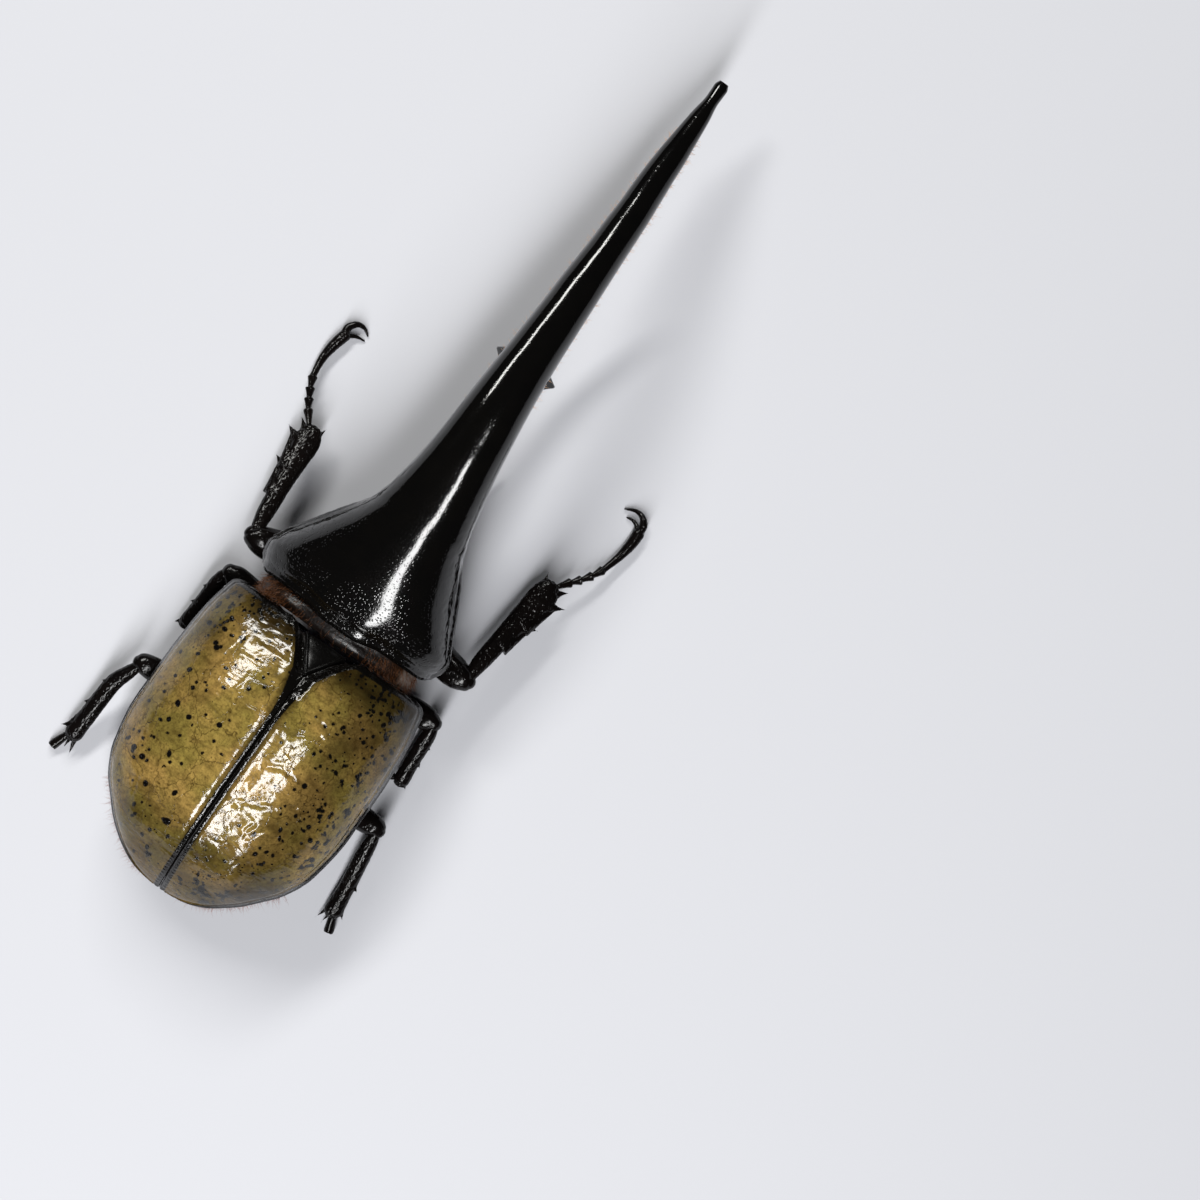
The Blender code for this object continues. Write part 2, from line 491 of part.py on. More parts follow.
def trim(obj, point, away):
    """Cut off what lies past a plane and close the cut with a flat face."""
    bm = bmesh.new()
    bm.from_mesh(obj.data)
    bmesh.ops.bisect_plane(bm, geom=bm.verts[:] + bm.edges[:] + bm.faces[:], dist=WELD / 2,
                           plane_co=point, plane_no=away, clear_outer=True)
    bmesh.ops.holes_fill(bm, edges=[edge for edge in bm.edges if edge.is_boundary])
    bmesh.ops.recalc_face_normals(bm, faces=bm.faces)
    bmesh.ops.triangulate(bm, faces=bm.faces)
    bm.to_mesh(obj.data)
    bm.free()
    return obj


def on_floor(obj):
    """Flatten whatever would sink below the floor."""
    return trim(obj, (0, 0, 0), (0, 0, -1))


def hind_edge(x):
    """Station of the pronotum's hind edge: a lobe behind the middle and round corners."""
    begin, width, rise = LOBE
    lobe = min(max((abs(x) - begin) / width, 0.0), 1.0)
    edge = PRONOTUM[0][0] + rise * lobe * lobe * (3 - 2 * lobe)
    begin, width, rise = CORNER
    corner = min(max((abs(x) - begin) / width, 0.0), 1.0)
    return edge + rise * corner * corner


def pronotum_ring(station, scale=1.0):
    """Section of the prothorax, pulled back to the curved hind edge near its end."""
    half, top, bottom, widest = smooth(PRONOTUM, station)
    near = max(0.0, 1.0 - (station - PRONOTUM[0][0]) / HIND_EDGE_LENGTH)
    ring = []
    for x, z in oval(half, top, bottom, widest, PRONOTUM_POWER, PRONOTUM_SIDES, CROWN_POWER):
        shift = (hind_edge(x) - PRONOTUM[0][0]) * near
        ring.append((x * scale, station + shift, widest + (z - widest) * scale))
    return ring


def make_pronotum():
    """The barrel of the prothorax, hollowed behind for the collar."""
    recess = [(x, LIP_STATION, z) for x, _, z in pronotum_ring(PRONOTUM[0][0], LIP_SCALE)]
    stations = PRONOTUM_STATIONS + (HORN_CUT - GAP / 2,)
    rings = [recess] + [pronotum_ring(station) for station in stations]
    return loft("pronotum", rings, JET)


def make_thoracic_horn():
    """The long upper horn with a pair of side teeth, tapering down to its tip."""
    rings = []
    for station in even(HORN_CUT + GAP / 2, HORN_ENDS[0], HORN_STEP) + list(HORN_ENDS[1:]):
        half, top, bottom, widest = smooth(THORACIC_HORN, station)
        section = oval(half, top, bottom, widest, HORN_POWER, HORN_SIDES, CROWN_POWER)
        rings.append([(x, station, z) for x, z in section])
    horn = loft("thoracic_horn", rings, JET)
    teeth = [limb("tooth", mirrored(HORN_TOOTH, side), 6, 2) for side in (1, -1)]
    return combine(horn, teeth, "UNION")


def dome(station, turn):
    """Point on the outside of the wing cases; turn is 0 at the middle and 90 degrees at the rim."""
    half, top, rim = smooth(ELYTRA, station)
    across = math.sin(turn)
    rise = max(0.0, 1.0 - abs(across) ** ELYTRON_POWER) ** (1.0 / ELYTRON_POWER)
    return Vector((half * across, station, rim + (top - rim) * rise))


def under_dome(station, turn, depth):
    """Point a depth inside the wing cases' outer face."""
    back = max(station - NORMAL_STEP, ELYTRA[0][0])
    front = min(station + NORMAL_STEP, ELYTRA[-1][0])
    limit = math.pi / 2
    along = dome(front, turn) - dome(back, turn)
    upper = dome(station, min(turn + NORMAL_TURN, limit))
    across = upper - dome(station, max(turn - NORMAL_TURN, -limit))
    outward = across.cross(along).normalized()
    if outward.z < 0 and abs(outward.z) > 0.1:
        outward.negate()
    if abs(turn) > limit - 0.3 and outward.x * turn < 0:
        outward.negate()
    return dome(station, turn) - outward * depth


def scutellum_half(station):
    """Half width of the little shield between the wing cases."""
    share = (station - SCUTELLUM_TIP) / (SCUTELLUM_BASE - SCUTELLUM_TIP)
    return SCUTELLUM_HALF * max(0.0, share)


def make_elytron(name, side):
    """One wing case as a curved plate from the suture to the rim."""
    outer, inner = [], []
    for station in ELYTRA_STATIONS:
        half = smooth(ELYTRA, station)[0]
        notch = smooth(SHOULDER_NOTCH, station)[0] if station > SHOULDER_NOTCH[0][0] else 0.0
        margin = GAP if station > SCUTELLUM_TIP else GAP / 2
        start = math.asin((scutellum_half(station) + margin + notch) / half)
        shares = [j / ELYTRON_STEPS for j in range(ELYTRON_STEPS + 1)]
        turns = [side * (start + (math.pi / 2 - start) * share) for share in shares]
        outer.append([under_dome(station, turn, 0.0) for turn in turns])
        inner.append([under_dome(station, turn, ELYTRON_THICK) for turn in turns])
    return shell(name, outer, inner, OLIVE)


def make_scutellum():
    """The small triangular shield, a little below the wing cases."""
    sheets = []
    for depth in SCUTELLUM_DEPTHS:
        sheet = []
        for station in even(SCUTELLUM_BASE, SCUTELLUM_TIP + SCUTELLUM_BLUNT, SCUTELLUM_STEP):
            half = max(scutellum_half(station), SCUTELLUM_TIP_HALF)
            body = smooth(ELYTRA, station)[0]
            sheet.append([under_dome(station, math.asin(half * j / 2 / body), depth) for j in range(-2, 3)])
        sheets.append(sheet)
    return shell("scutellum", sheets[0], sheets[1], JET)


def trunk_ring(station, sink=0.0):
    """Section of the body under the wing cases, closed by the curve of the belly."""
    turns = [math.pi * (j / TRUNK_STEPS - 0.5) for j in range(TRUNK_STEPS + 1)]
    top = [under_dome(station, turn, TRUNK_DEPTH) for turn in turns]
    right, left = top[0], top[-1]
    bottom = smooth(BELLY, station)[0] + sink
    ring = list(top)
    for j in range(1, TRUNK_STEPS):
        turn = math.pi * j / TRUNK_STEPS
        across = math.cos(turn)
        drop = (1.0 - abs(across) ** TRUNK_POWER) ** (1.0 / TRUNK_POWER)
        along = (left.y + right.y) / 2
        ring.append(Vector((left.x * across, along, left.z - (left.z - bottom) * drop)))
    return ring


def make_metathorax():
    """The hind chest, flat below where the beetle rests."""
    rings = [trunk_ring(station) for station in METATHORAX_STATIONS]
    return on_floor(loft("metathorax", rings, JET))


def make_abdomen():
    """The belly, with a small step at the edge of each ventral plate."""
    start, end = ABDOMEN_ENDS
    rings = [trunk_ring(start), trunk_ring(HIND_COXA_STATION)]
    for edge in VENTRITE_EDGES:
        rings.append(trunk_ring(edge + VENTRITE_SLOPE))
        rings.append(trunk_ring(edge, VENTRITE_STEP))
    rings.append(trunk_ring(end))
    return on_floor(loft("abdomen", rings, JET))


def make_pygidium():
    """The last plate, which closes the body below the ends of the wing cases."""
    return loft("pygidium", [trunk_ring(station) for station in PYGIDIUM_STATIONS], JET)


def make_collar():
    """The middle chest that shows as a brown collar behind the pronotum."""
    rings = []
    for station, *section in COLLAR:
        rings.append([(x, station, z) for x, z in oval(*section, PRONOTUM_POWER, PRONOTUM_SIDES)])
    return loft("mesothorax", rings, BROWN)


def head_form(name, grow=0.0, finish=None):
    """The head capsule out to the edge of its front plate."""
    rings = []
    first, last = HEAD[0][0], HEAD[-1][0]
    for station in HEAD_STATIONS:
        half, top, bottom, widest = smooth(HEAD, station)
        section = oval(half + grow, top + grow, bottom - grow, widest, HEAD_POWER, HEAD_SIDES)
        shift = -grow if station == first else grow if station == last else 0.0
        rings.append([(x, station + shift, z) for x, z in section])
    return loft(name, rings, finish)


def horn_form(name, grow=0.0, finish=None):
    """The whole horn of the head, from inside its root to its tip."""
    return limb(name, CEPHALIC_HORN, 10, 2, grow, finish)


def mirrored(rows, side):
    """Rows for the left side, or their mirror image for the right."""
    return [(side * row[0], *row[1:]) for row in rows]


def make_head():
    """Head capsule with the foot of its horn, and sockets for the eyes."""
    head = head_form("head", 0.0, JET)
    root = trim(horn_form("root"), place(0, CEPHALIC_CUT - GAP / 2, 0), (0, -1, 0))
    brows = [limb("brow", mirrored(CANTHUS, side), 6, 1) for side in (1, -1)]
    combine(head, [root] + brows, "UNION")
    return combine(head, [eye_form("eye", side, GAP) for side in (1, -1)], "DIFFERENCE")


def eye_form(name, side, grow=0.0, finish=None):
    """One globe of the compound eyes."""
    x, station, z = EYE_CENTRE
    return ball(name, (side * x, station, z), (EYE_RADIUS,) * 3, grow, finish)


def make_cephalic_horn():
    """The lower horn with a row of teeth on its upper edge."""
    horn = trim(horn_form("cephalic_horn", 0.0, JET), place(0, CEPHALIC_CUT + GAP / 2, 0), (0, 1, 0))
    teeth = []
    for station, z, height, radius in CEPHALIC_TEETH:
        rows = ((0, station, z, radius * 0.8, radius),
                (0, station + 0.3, z + height * 0.6, radius * 0.5, radius * 0.6),
                (0, station + TOOTH_LEAN, z + height, *TOOTH_TIP))
        teeth.append(upright("tooth", rows))
    return combine(horn, teeth, "UNION")


def upright(name, rows, sides=6):
    """A tapered peg whose rings lie level."""
    rings = []
    for x, station, z, half, depth in rows:
        turns = [2 * math.pi * k / sides for k in range(sides)]
        rings.append([(x + half * math.cos(a), station + depth * math.sin(a), z) for a in turns])
    return loft(name, rings)


def make_mandible(name, side):
    """One jaw, under the front plate."""
    jaw = limb(name, mirrored(MANDIBLE, side), 8, 1, 0.0, JET)
    return combine(jaw, [head_form("cutter", GAP)], "DIFFERENCE")


def make_labium():
    """The lower lip with a pair of palps."""
    lip = limb("labium", LABIUM, 8, 2, 0.0, JET)
    palps = [limb("palp", mirrored(PALP, side), 5, 1) for side in (1, -1)]
    combine(lip, palps, "UNION")
    jaws = [limb("cutter", mirrored(MANDIBLE, side), 8, 1, GAP) for side in (1, -1)]
    return combine(lip, [head_form("cutter", GAP)] + jaws, "DIFFERENCE")


def make_antenna(name, side):
    """A feeler folded under the head: shaft, beads and a club of three leaves."""
    feeler = limb(name, mirrored(SCAPE, side), 6, 1, 0.0, BROWN)
    step = Vector(FUNICLE_STEP)
    point = Vector(FUNICLE_START)
    rows = []
    for _ in range(FUNICLE_BEADS):
        for share, half in zip((0.0, 0.6), BEAD_HALVES):
            rows.append((*(point + step * share), half, half))
        point = point + step
    rows.append((*point, BEAD_HALVES[0], BEAD_HALVES[0]))
    pieces = [limb("beads", mirrored(rows, side), 5, 1)]
    for leaf in range(CLUB_LEAVES):
        x = point.x + LEAF_SPACING * (leaf - 1)
        centre = (side * x, point.y - CLUB_LENGTH * 0.75, point.z - GAP)
        pieces.append(ball("leaf", centre, LEAF_RADII, turns=8, bands=4))
    combine(feeler, pieces, "UNION")
    return combine(feeler, [head_form("cutter", GAP)], "DIFFERENCE")


def coxa_form(name, pair, side, grow=0.0, finish=None):
    """The hip of one leg."""
    centre, radii = COXAE[pair]
    return ball(name, (side * centre[0], *centre[1:]), radii, grow, finish)


def femur_form(leg, grow):
    """A thigh, grown to cut the groove or the joint that it needs."""
    return limb("cutter", FEMORA[leg], LEG_SIDES, 2, grow)


def tibia_parts(leg, grow):
    """A shin with its spurs, grown to cut the joint of the foot."""
    pieces = [limb("cutter", TIBIAE[leg], LEG_SIDES, 1, grow)]
    for root, tip, radius in SPINES[leg]:
        pieces.append(spine("cutter", root, tip, radius + grow))
    return pieces


def foot_rows(joints):
    """Rows of a foot: four short segments that flare, then a long one."""
    rows = []
    for a, b in list(zip(joints, joints[1:]))[:FOOT_SEGMENTS]:
        start, end = Vector(a), Vector(b)
        for share, half, height in FOOT_SWELL:
            rows.append((*start.lerp(end, share), half, height))
    for joint, size in zip(joints[FOOT_SEGMENTS:], CLAW_JOINT_HALVES):
        rows.append((*joint, size, size * 0.9))
    return rows


def make_foot(leg):
    """A tarsus and its two claws, flat where they touch the floor."""
    name = "tarsus_" + leg
    if leg in STUMPS:
        foot = limb(name, STUMPS[leg], FOOT_SIDES, 2, 0.0, JET)
    else:
        foot = limb(name, foot_rows(TARSI[leg]), FOOT_SIDES, 1, 0.0, JET)
        combine(foot, [limb("claw", rows, FOOT_SIDES, 1) for rows in CLAWS[leg]], "UNION")
    combine(foot, tibia_parts(leg, GAP), "DIFFERENCE")
    return on_floor(foot)


def make_leg(pair, hand):
    """Hip, thigh, shin and foot of one leg, each meeting the one before it."""
    side = 1 if hand == "left" else -1
    leg = pair + "_" + hand
    coxa_form("coxa_" + leg, pair, side, 0.0, JET)
    femur = limb("femur_" + leg, FEMORA[leg], LEG_SIDES, 2, 0.0, JET)
    combine(femur, [coxa_form("cutter", pair, side, GAP)], "DIFFERENCE")
    tibia = limb("tibia_" + leg, TIBIAE[leg], LEG_SIDES, 1, 0.0, JET)
    combine(tibia, [spine("spine", *row) for row in SPINES[leg]], "UNION")
    combine(tibia, [femur_form(leg, GAP)], "DIFFERENCE")
    on_floor(tibia)
    make_foot(leg)


def seat(body, pair):
    """Cut into a body the room that one pair of legs needs."""
    tools = []
    for side, hand in ((1, "left"), (-1, "right")):
        tools.append(coxa_form("cutter", pair, side, GAP))
        tools.append(femur_form(pair + "_" + hand, GAP))
    return combine(body, tools, "DIFFERENCE")


def lean(obj):
    """Swing a finished piece sideways with the front body; every piece there moves alike."""
    for vertex in obj.data.vertices:
        station = ORIGIN_STATION - vertex.co.y / MM
        vertex.co.x += float(smooth(LEAN, station)[0]) * MM


def main():
    """Build every piece of the beetle."""
    for obj in list(bpy.data.objects):
        bpy.data.objects.remove(obj)
    beetle = bpy.data.collections.new("hercules_beetle")
    bpy.context.scene.collection.children.link(beetle)

    pronotum = make_pronotum()
    combine(pronotum, [head_form("cutter", GAP)], "DIFFERENCE")
    seat(pronotum, "front")
    make_thoracic_horn()
    make_head()
    make_cephalic_horn()
    make_labium()
    for side, hand in ((1, "left"), (-1, "right")):
        eye_form("eye_" + hand, side, 0.0, EYE_BLACK)
        make_mandible("mandible_" + hand, side)
        make_antenna("antenna_" + hand, side)
        make_elytron("elytron_" + hand, side)

    make_collar()
    make_scutellum()
    seat(make_metathorax(), "mid")
    seat(make_abdomen(), "hind")
    make_pygidium()
    for pair in ("front", "mid", "hind"):
        for hand in ("left", "right"):
            make_leg(pair, hand)
    for name in LEANING:
        lean(bpy.data.objects[name])


main()
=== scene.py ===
"""Looks of a male hercules beetle lying on its belly, seen from above.

Shapes are worked out in millimetres: x is to the beetle's left, a station is the
distance forward of the pronotum's hind edge, and z is up from the floor. place()
turns them to the frame's metres, where the long horn points to -Y.
"""

import logging
import math
from dataclasses import dataclass, field
from enum import Enum
from typing import Callable, Iterable, Sequence

import bmesh
import bpy
import numpy as np
from mathutils import Matrix, Vector


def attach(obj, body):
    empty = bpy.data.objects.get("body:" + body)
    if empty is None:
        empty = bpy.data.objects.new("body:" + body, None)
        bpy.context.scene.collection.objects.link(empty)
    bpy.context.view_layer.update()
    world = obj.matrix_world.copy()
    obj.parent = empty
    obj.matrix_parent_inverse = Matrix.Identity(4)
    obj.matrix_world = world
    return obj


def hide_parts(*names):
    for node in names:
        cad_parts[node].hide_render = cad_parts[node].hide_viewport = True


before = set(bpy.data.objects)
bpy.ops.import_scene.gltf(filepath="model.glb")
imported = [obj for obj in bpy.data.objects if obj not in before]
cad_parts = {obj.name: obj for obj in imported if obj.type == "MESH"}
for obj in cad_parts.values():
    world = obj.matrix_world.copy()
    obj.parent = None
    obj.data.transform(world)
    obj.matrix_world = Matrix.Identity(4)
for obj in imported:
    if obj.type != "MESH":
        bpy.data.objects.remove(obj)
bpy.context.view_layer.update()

LOG = logging.getLogger("hercules_beetle")
MM = 0.001
ORIGIN_STATION = -8.0
BODY = "root"

Rows = Sequence[Sequence[float]]
Tree = bpy.types.NodeTree
Socket = bpy.types.NodeSocket

# Inputs of a colour Mix node, by number because other inputs have the same names
MIX_INPUTS = {"share": 0, "under": 6, "over": 7}
MIX_RESULT = 2

# How far the front body lies to the side of the middle line: station, offset in mm
LEAN: Rows = (
    (12.0, 0.0), (18.0, -0.6), (24.0, -1.2), (29.0, -1.5), (36.0, -1.4), (48.0, -1.0), (60.0, -0.65),
    (80.0, -0.45), (96.0, -0.25), (108.0, 0.15), (127.8, 0.3))


class Side(Enum):
    """The beetle's own left and right, as signs of x."""

    LEFT = 1
    RIGHT = -1

    @property
    def word(self) -> str:
        """The side's name as the nodes have it."""
        return self.name.lower()


class Slot(Enum):
    """Material slots of the record."""

    CHITIN = "chitin_black"
    ELYTRON = "elytron_olive"
    EYE = "eye_black"
    MEMBRANE = "membrane_brown"


def place(points: np.ndarray) -> np.ndarray:
    """Turn body millimetres to metres in the frame.

    Args:
        points: Array whose last axis is x, station, z.

    Returns:
        The same array as X, Y, Z in metres.
    """
    points = np.asarray(points, dtype=float)
    return np.stack((points[..., 0], ORIGIN_STATION - points[..., 1], points[..., 2]), axis=-1) * MM


class Profile:
    """Reads rows of values along a station, on a curve that never overshoots them."""

    def __init__(self, rows: Rows) -> None:
        """Work out the slopes once.

        Args:
            rows: Each row is a station, then its values.
        """
        table = np.array(sorted(rows), dtype=float)
        self.stations, self.values = table[:, 0], table[:, 1:]
        self.spans = np.diff(self.stations)[:, None]
        rises = np.diff(self.values, axis=0) / self.spans
        rising = rises[:-1] * rises[1:] > 0
        total = np.where(rising, rises[:-1] + rises[1:], 1.0)
        inner = np.where(rising, 2 * rises[:-1] * rises[1:] / total, 0.0)
        self.slopes = np.vstack((rises[:1], inner, rises[-1:]))

    def at(self, stations: np.ndarray) -> np.ndarray:
        """Read every column.

        Args:
            stations: One-dimensional array.

        Returns:
            One row of values for each station.
        """
        at = np.clip(np.atleast_1d(stations).astype(float), self.stations[0], self.stations[-1])
        i = np.clip(np.searchsorted(self.stations, at) - 1, 0, len(self.spans) - 1)
        span = self.spans[i]
        t = ((at - self.stations[i])[:, None]) / span
        return ((1 + 2 * t) * (1 - t) ** 2 * self.values[i] + t * (1 - t) ** 2 * span * self.slopes[i]
                + t * t * (3 - 2 * t) * self.values[i + 1] + t * t * (t - 1) * span * self.slopes[i + 1])


def leaned(points: np.ndarray) -> np.ndarray:
    """Swing points of the front body sideways by station, as the beetle lies.

    Args:
        points: Array whose last axis is x, station, z in body millimetres.

    Returns:
        The moved points.
    """
    points = np.array(points, dtype=float)
    offset = Profile(LEAN).at(points[..., 1].ravel())[:, 0]
    points[..., 0] += offset.reshape(points.shape[:-1])
    return points


def step(low: float, high: float, value: np.ndarray) -> np.ndarray:
    """Rise smoothly from 0 at low to 1 at high."""
    t = np.clip((np.asarray(value, dtype=float) - low) / (high - low), 0.0, 1.0)
    return t * t * (3 - 2 * t)


def scatter(cells: np.ndarray, seed: float) -> np.ndarray:
    """Give each whole-number cell of space a random-looking value.

    Args:
        cells: Array whose last axis is the cell's three numbers.
        seed: Picks the pattern.

    Returns:
        One value from 0 to 1 for each cell.
    """
    mixed = cells[..., 0] * 127.1 + cells[..., 1] * 311.7 + cells[..., 2] * 74.7 + seed * 53.3
    value = np.sin(mixed) * 43758.5453
    return value - np.floor(value)


def rumple(points: np.ndarray, size: Sequence[float] | float, seed: float, octaves: int = 3) -> np.ndarray:
    """Work out smooth noise from about -1 to 1.

    Args:
        points: Places in millimetres.
        size: Width of the largest bumps along each axis, in millimetres.
        seed: Picks the pattern.
        octaves: How many finer layers are added.

    Returns:
        One value for each point.
    """
    total, weight, sum_of = 0.0, 1.0, 0.0
    scaled = points / np.asarray(size, dtype=float)
    for octave in range(octaves):
        cell = np.floor(scaled)
        part = scaled - cell
        part = part * part * (3 - 2 * part)
        value = 0.0
        for corner in np.ndindex(2, 2, 2):
            share = np.prod(np.where(np.array(corner) == 1, part, 1 - part), axis=-1)
            value = value + share * scatter(cell + np.array(corner), seed + octave)
        total, sum_of = total + weight * (2 * value - 1), sum_of + weight
        scaled, weight = scaled * 2.03, weight * 0.5
    return total / sum_of


def pits(points: np.ndarray, spacing: float, width: float, seed: float) -> np.ndarray:
    """Set round dimples at random, about a spacing apart.

    Args:
        points: Places in millimetres.
        spacing: Mean distance between pits.
        width: Radius of a pit.
        seed: Picks the pattern.

    Returns:
        0 outside the pits, up to 1 at their middles.
    """
    scaled = points / spacing
    cell = np.floor(scaled)
    nearest = np.full(points.shape[:-1], 9.0)
    for offset in np.ndindex(3, 3, 3):
        other = cell + np.array(offset) - 1
        middle = np.stack([scatter(other, seed + k) for k in range(3)], axis=-1)
        nearest = np.minimum(nearest, np.linalg.norm(other + middle - scaled, axis=-1))
    return step(1.0, 0.0, nearest * spacing / width)


def grid_normals(grid: np.ndarray, closed: bool) -> np.ndarray:
    """Work out the unit normals of a grid of points, away from its middle line.

    Args:
        grid: Rows by columns by 3.
        closed: Whether each row joins up into a ring.

    Returns:
        An array like the grid.
    """
    along = np.gradient(grid, axis=0)
    if closed:
        across = np.roll(grid, -1, axis=1) - np.roll(grid, 1, axis=1)
    else:
        across = np.gradient(grid, axis=1)
    normal = np.cross(across, along)
    normal /= np.linalg.norm(normal, axis=-1, keepdims=True) + 1e-12
    away = grid - grid.mean(axis=1 if closed else (0, 1), keepdims=True)
    return normal if np.sum(normal * away) > 0 else -normal


def oval_rings(sections: Rows, stations: np.ndarray, columns: int, power: float | np.ndarray) -> np.ndarray:
    """Draw a ring round the body at each station, squarer as power drops.

    Args:
        sections: Station, half width, top, bottom and height of the widest line.
        stations: Where the rings lie.
        columns: Points in a ring.
        power: 1 for an ellipse, less for a squarer ring.

    Returns:
        Rings by points by 3, in body millimetres.
    """
    half, top, bottom, widest = Profile(sections).at(stations).T[:, :, None]
    turn = np.linspace(0, 2 * math.pi, columns, endpoint=False)[None]
    across, up = np.cos(turn), np.sin(turn)
    x = half * np.sign(across) * np.abs(across) ** power
    rise = np.abs(up) ** power
    z = np.where(up > 0, widest + rise * (top - widest), widest - rise * (widest - bottom))
    return np.stack((x, np.broadcast_to(stations[:, None], x.shape), z), axis=-1)


def egg_rings(radii: Sequence[float] | float, columns: int) -> np.ndarray:
    """Draw rings of an egg about the origin, with its two ends on x.

    Args:
        radii: Half its length along each axis.
        columns: Points in a ring.

    Returns:
        Rings by points by 3.
    """
    end, rows = 0.02, 40
    down = np.linspace(end, math.pi - end, rows)[:, None]
    around = np.linspace(0, 2 * math.pi, columns, endpoint=False)
    ball = (np.cos(down) * np.ones(columns), np.sin(down) * np.cos(around), np.sin(down) * np.sin(around))
    return np.stack(ball, axis=-1) * radii


def new_object(name: str, mesh: bpy.types.Mesh) -> bpy.types.Object:
    """Link a mesh to the scene as a smooth object.

    Args:
        name: Name of the new object.
        mesh: Its mesh.

    Returns:
        The new object.
    """
    mesh.shade_smooth()
    obj = bpy.data.objects.new(name, mesh)
    bpy.context.scene.collection.objects.link(obj)
    return obj


def outward(mesh: bpy.types.Mesh) -> None:
    """Turn all faces of a closed mesh outward.

    Args:
        mesh: The mesh.
    """
    bm = bmesh.new()
    bm.from_mesh(mesh)
    bmesh.ops.recalc_face_normals(bm, faces=bm.faces)
    bm.to_mesh(mesh)
    bm.free()


def tube_mesh(name: str, grid: np.ndarray) -> bpy.types.Object:
    """Skin rings of points into a closed solid, each end closed by a fan.

    Args:
        name: Name of the new object.
        grid: Rings by points by 3, in body millimetres.

    Returns:
        The new object.
    """
    rows, columns = grid.shape[:2]
    ids = np.arange(rows * columns).reshape(rows, columns)
    beside = np.roll(ids, -1, axis=1)
    quads = np.stack((ids[:-1], beside[:-1], beside[1:], ids[1:]), axis=-1).reshape(-1, 4)
    verts = np.vstack((grid.reshape(-1, 3), grid[0].mean(axis=0), grid[-1].mean(axis=0)))
    faces = quads.tolist()
    for end, middle in ((0, rows * columns), (rows - 1, rows * columns + 1)):
        faces += [[a, b, middle] for a, b in zip(ids[end].tolist(), beside[end].tolist())]
    mesh = bpy.data.meshes.new(name)
    mesh.from_pydata(place(verts).tolist(), [], faces)
    outward(mesh)
    return new_object(name, mesh)


def plate_mesh(name: str, top: np.ndarray, low: np.ndarray) -> bpy.types.Object:
    """Close a plate from two matching grids.

    Args:
        name: Name of the new object.
        top: Outer face, rows by columns by 3, in body millimetres.
        low: Inner face, with the same shape.

    Returns:
        The new object.
    """
    rows, columns = top.shape[:2]
    ids = np.arange(rows * columns).reshape(rows, columns)
    under = ids + rows * columns
    faces = []
    for sheet in (ids, under):
        quads = np.stack((sheet[:-1, :-1], sheet[:-1, 1:], sheet[1:, 1:], sheet[1:, :-1]), axis=-1)
        faces.append(quads.reshape(-1, 4))
    for edge in (np.s_[0], np.s_[-1], np.s_[:, 0], np.s_[:, -1]):
        line, below = ids[edge], under[edge]
        faces.append(np.stack((line[:-1], line[1:], below[1:], below[:-1]), axis=-1))
    mesh = bpy.data.meshes.new(name)
    verts = np.vstack((top.reshape(-1, 3), low.reshape(-1, 3)))
    mesh.from_pydata(place(verts).tolist(), [], np.vstack(faces).tolist())
    outward(mesh)
    return new_object(name, mesh)


def limb_grid(rows: Rows, sides: int, steps: int) -> np.ndarray:
    """Draw rings of a tapered tube on a smooth curve through rows.

    Args:
        rows: x, station, z, half width and half height of each section.
        sides: Points in a ring.
        steps: Rings from one row to the next.

    Returns:
        Rings by points by 3, in body millimetres.
    """
    knots = [np.array(row, dtype=float) for row in rows]
    knots = [2 * knots[0] - knots[1]] + knots + [2 * knots[-1] - knots[-2]]
    curve = []
    for a, b, c, d in zip(knots, knots[1:], knots[2:], knots[3:]):
        for t in np.arange(steps) / steps:
            curve.append(0.5 * (2 * b + (c - a) * t + (2 * a - 5 * b + 4 * c - d) * t * t
                                + (3 * b - a - 3 * c + d) * t ** 3))
    curve = np.array(curve + [knots[-2]])
    ahead = np.gradient(curve[:, :3], axis=0)
    ahead /= np.linalg.norm(ahead, axis=1, keepdims=True)
    side = np.cross(ahead, (0.0, 0.0, 1.0))
    side /= np.linalg.norm(side, axis=1, keepdims=True)
    lift = np.cross(side, ahead)
    turn = np.linspace(0, 2 * math.pi, sides, endpoint=False)
    return (curve[:, None, :3] + side[:, None] * (curve[:, 3:4] * np.cos(turn))[..., None]
            + lift[:, None] * (curve[:, 4:5] * np.sin(turn))[..., None])


def round_ends(grid: np.ndarray) -> np.ndarray:
    """Dome both ends of a tube with a few shrinking rings.

    Args:
        grid: Rings by points by 3.

    Returns:
        The longer grid.
    """
    domes = []
    for ring, before in ((grid[0], grid[1]), (grid[-1], grid[-2])):
        push = (ring - before).mean(axis=0)
        push = push / (np.linalg.norm(push) + 1e-9)
        middle = ring.mean(axis=0)
        reach = np.linalg.norm(ring - middle, axis=1).mean() * 0.6
        domes.append([middle + (ring - middle) * math.cos(turn) + push * reach * math.sin(turn)
                      for turn in np.radians((30, 55, 75))])
    return np.array(domes[0][::-1] + list(grid) + domes[1])


def thorn_grid(root: Sequence[float], tip: Sequence[float], radius: float, bend: float = 0.0) -> np.ndarray:
    """Draw rings of a thorn from a sunk root to a fine tip.

    Args:
        root: Middle of the root, in body millimetres.
        tip: Its point.
        radius: Radius of the root.
        bend: How far the middle bows up.

    Returns:
        Rings by points by 3.
    """
    root, tip = np.array(root, dtype=float), np.array(tip, dtype=float)
    rows = []
    for share in (0.0, 0.3, 0.6, 0.85, 1.0):
        middle = root + (tip - root) * share
        middle[2] += bend * math.sin(math.pi * share)
        size = max(radius * 1.1 * (1 - share) ** 1.15, 0.07)
        rows.append((*middle, size, size * 0.8))
    return limb_grid(rows, sides=16, steps=4)


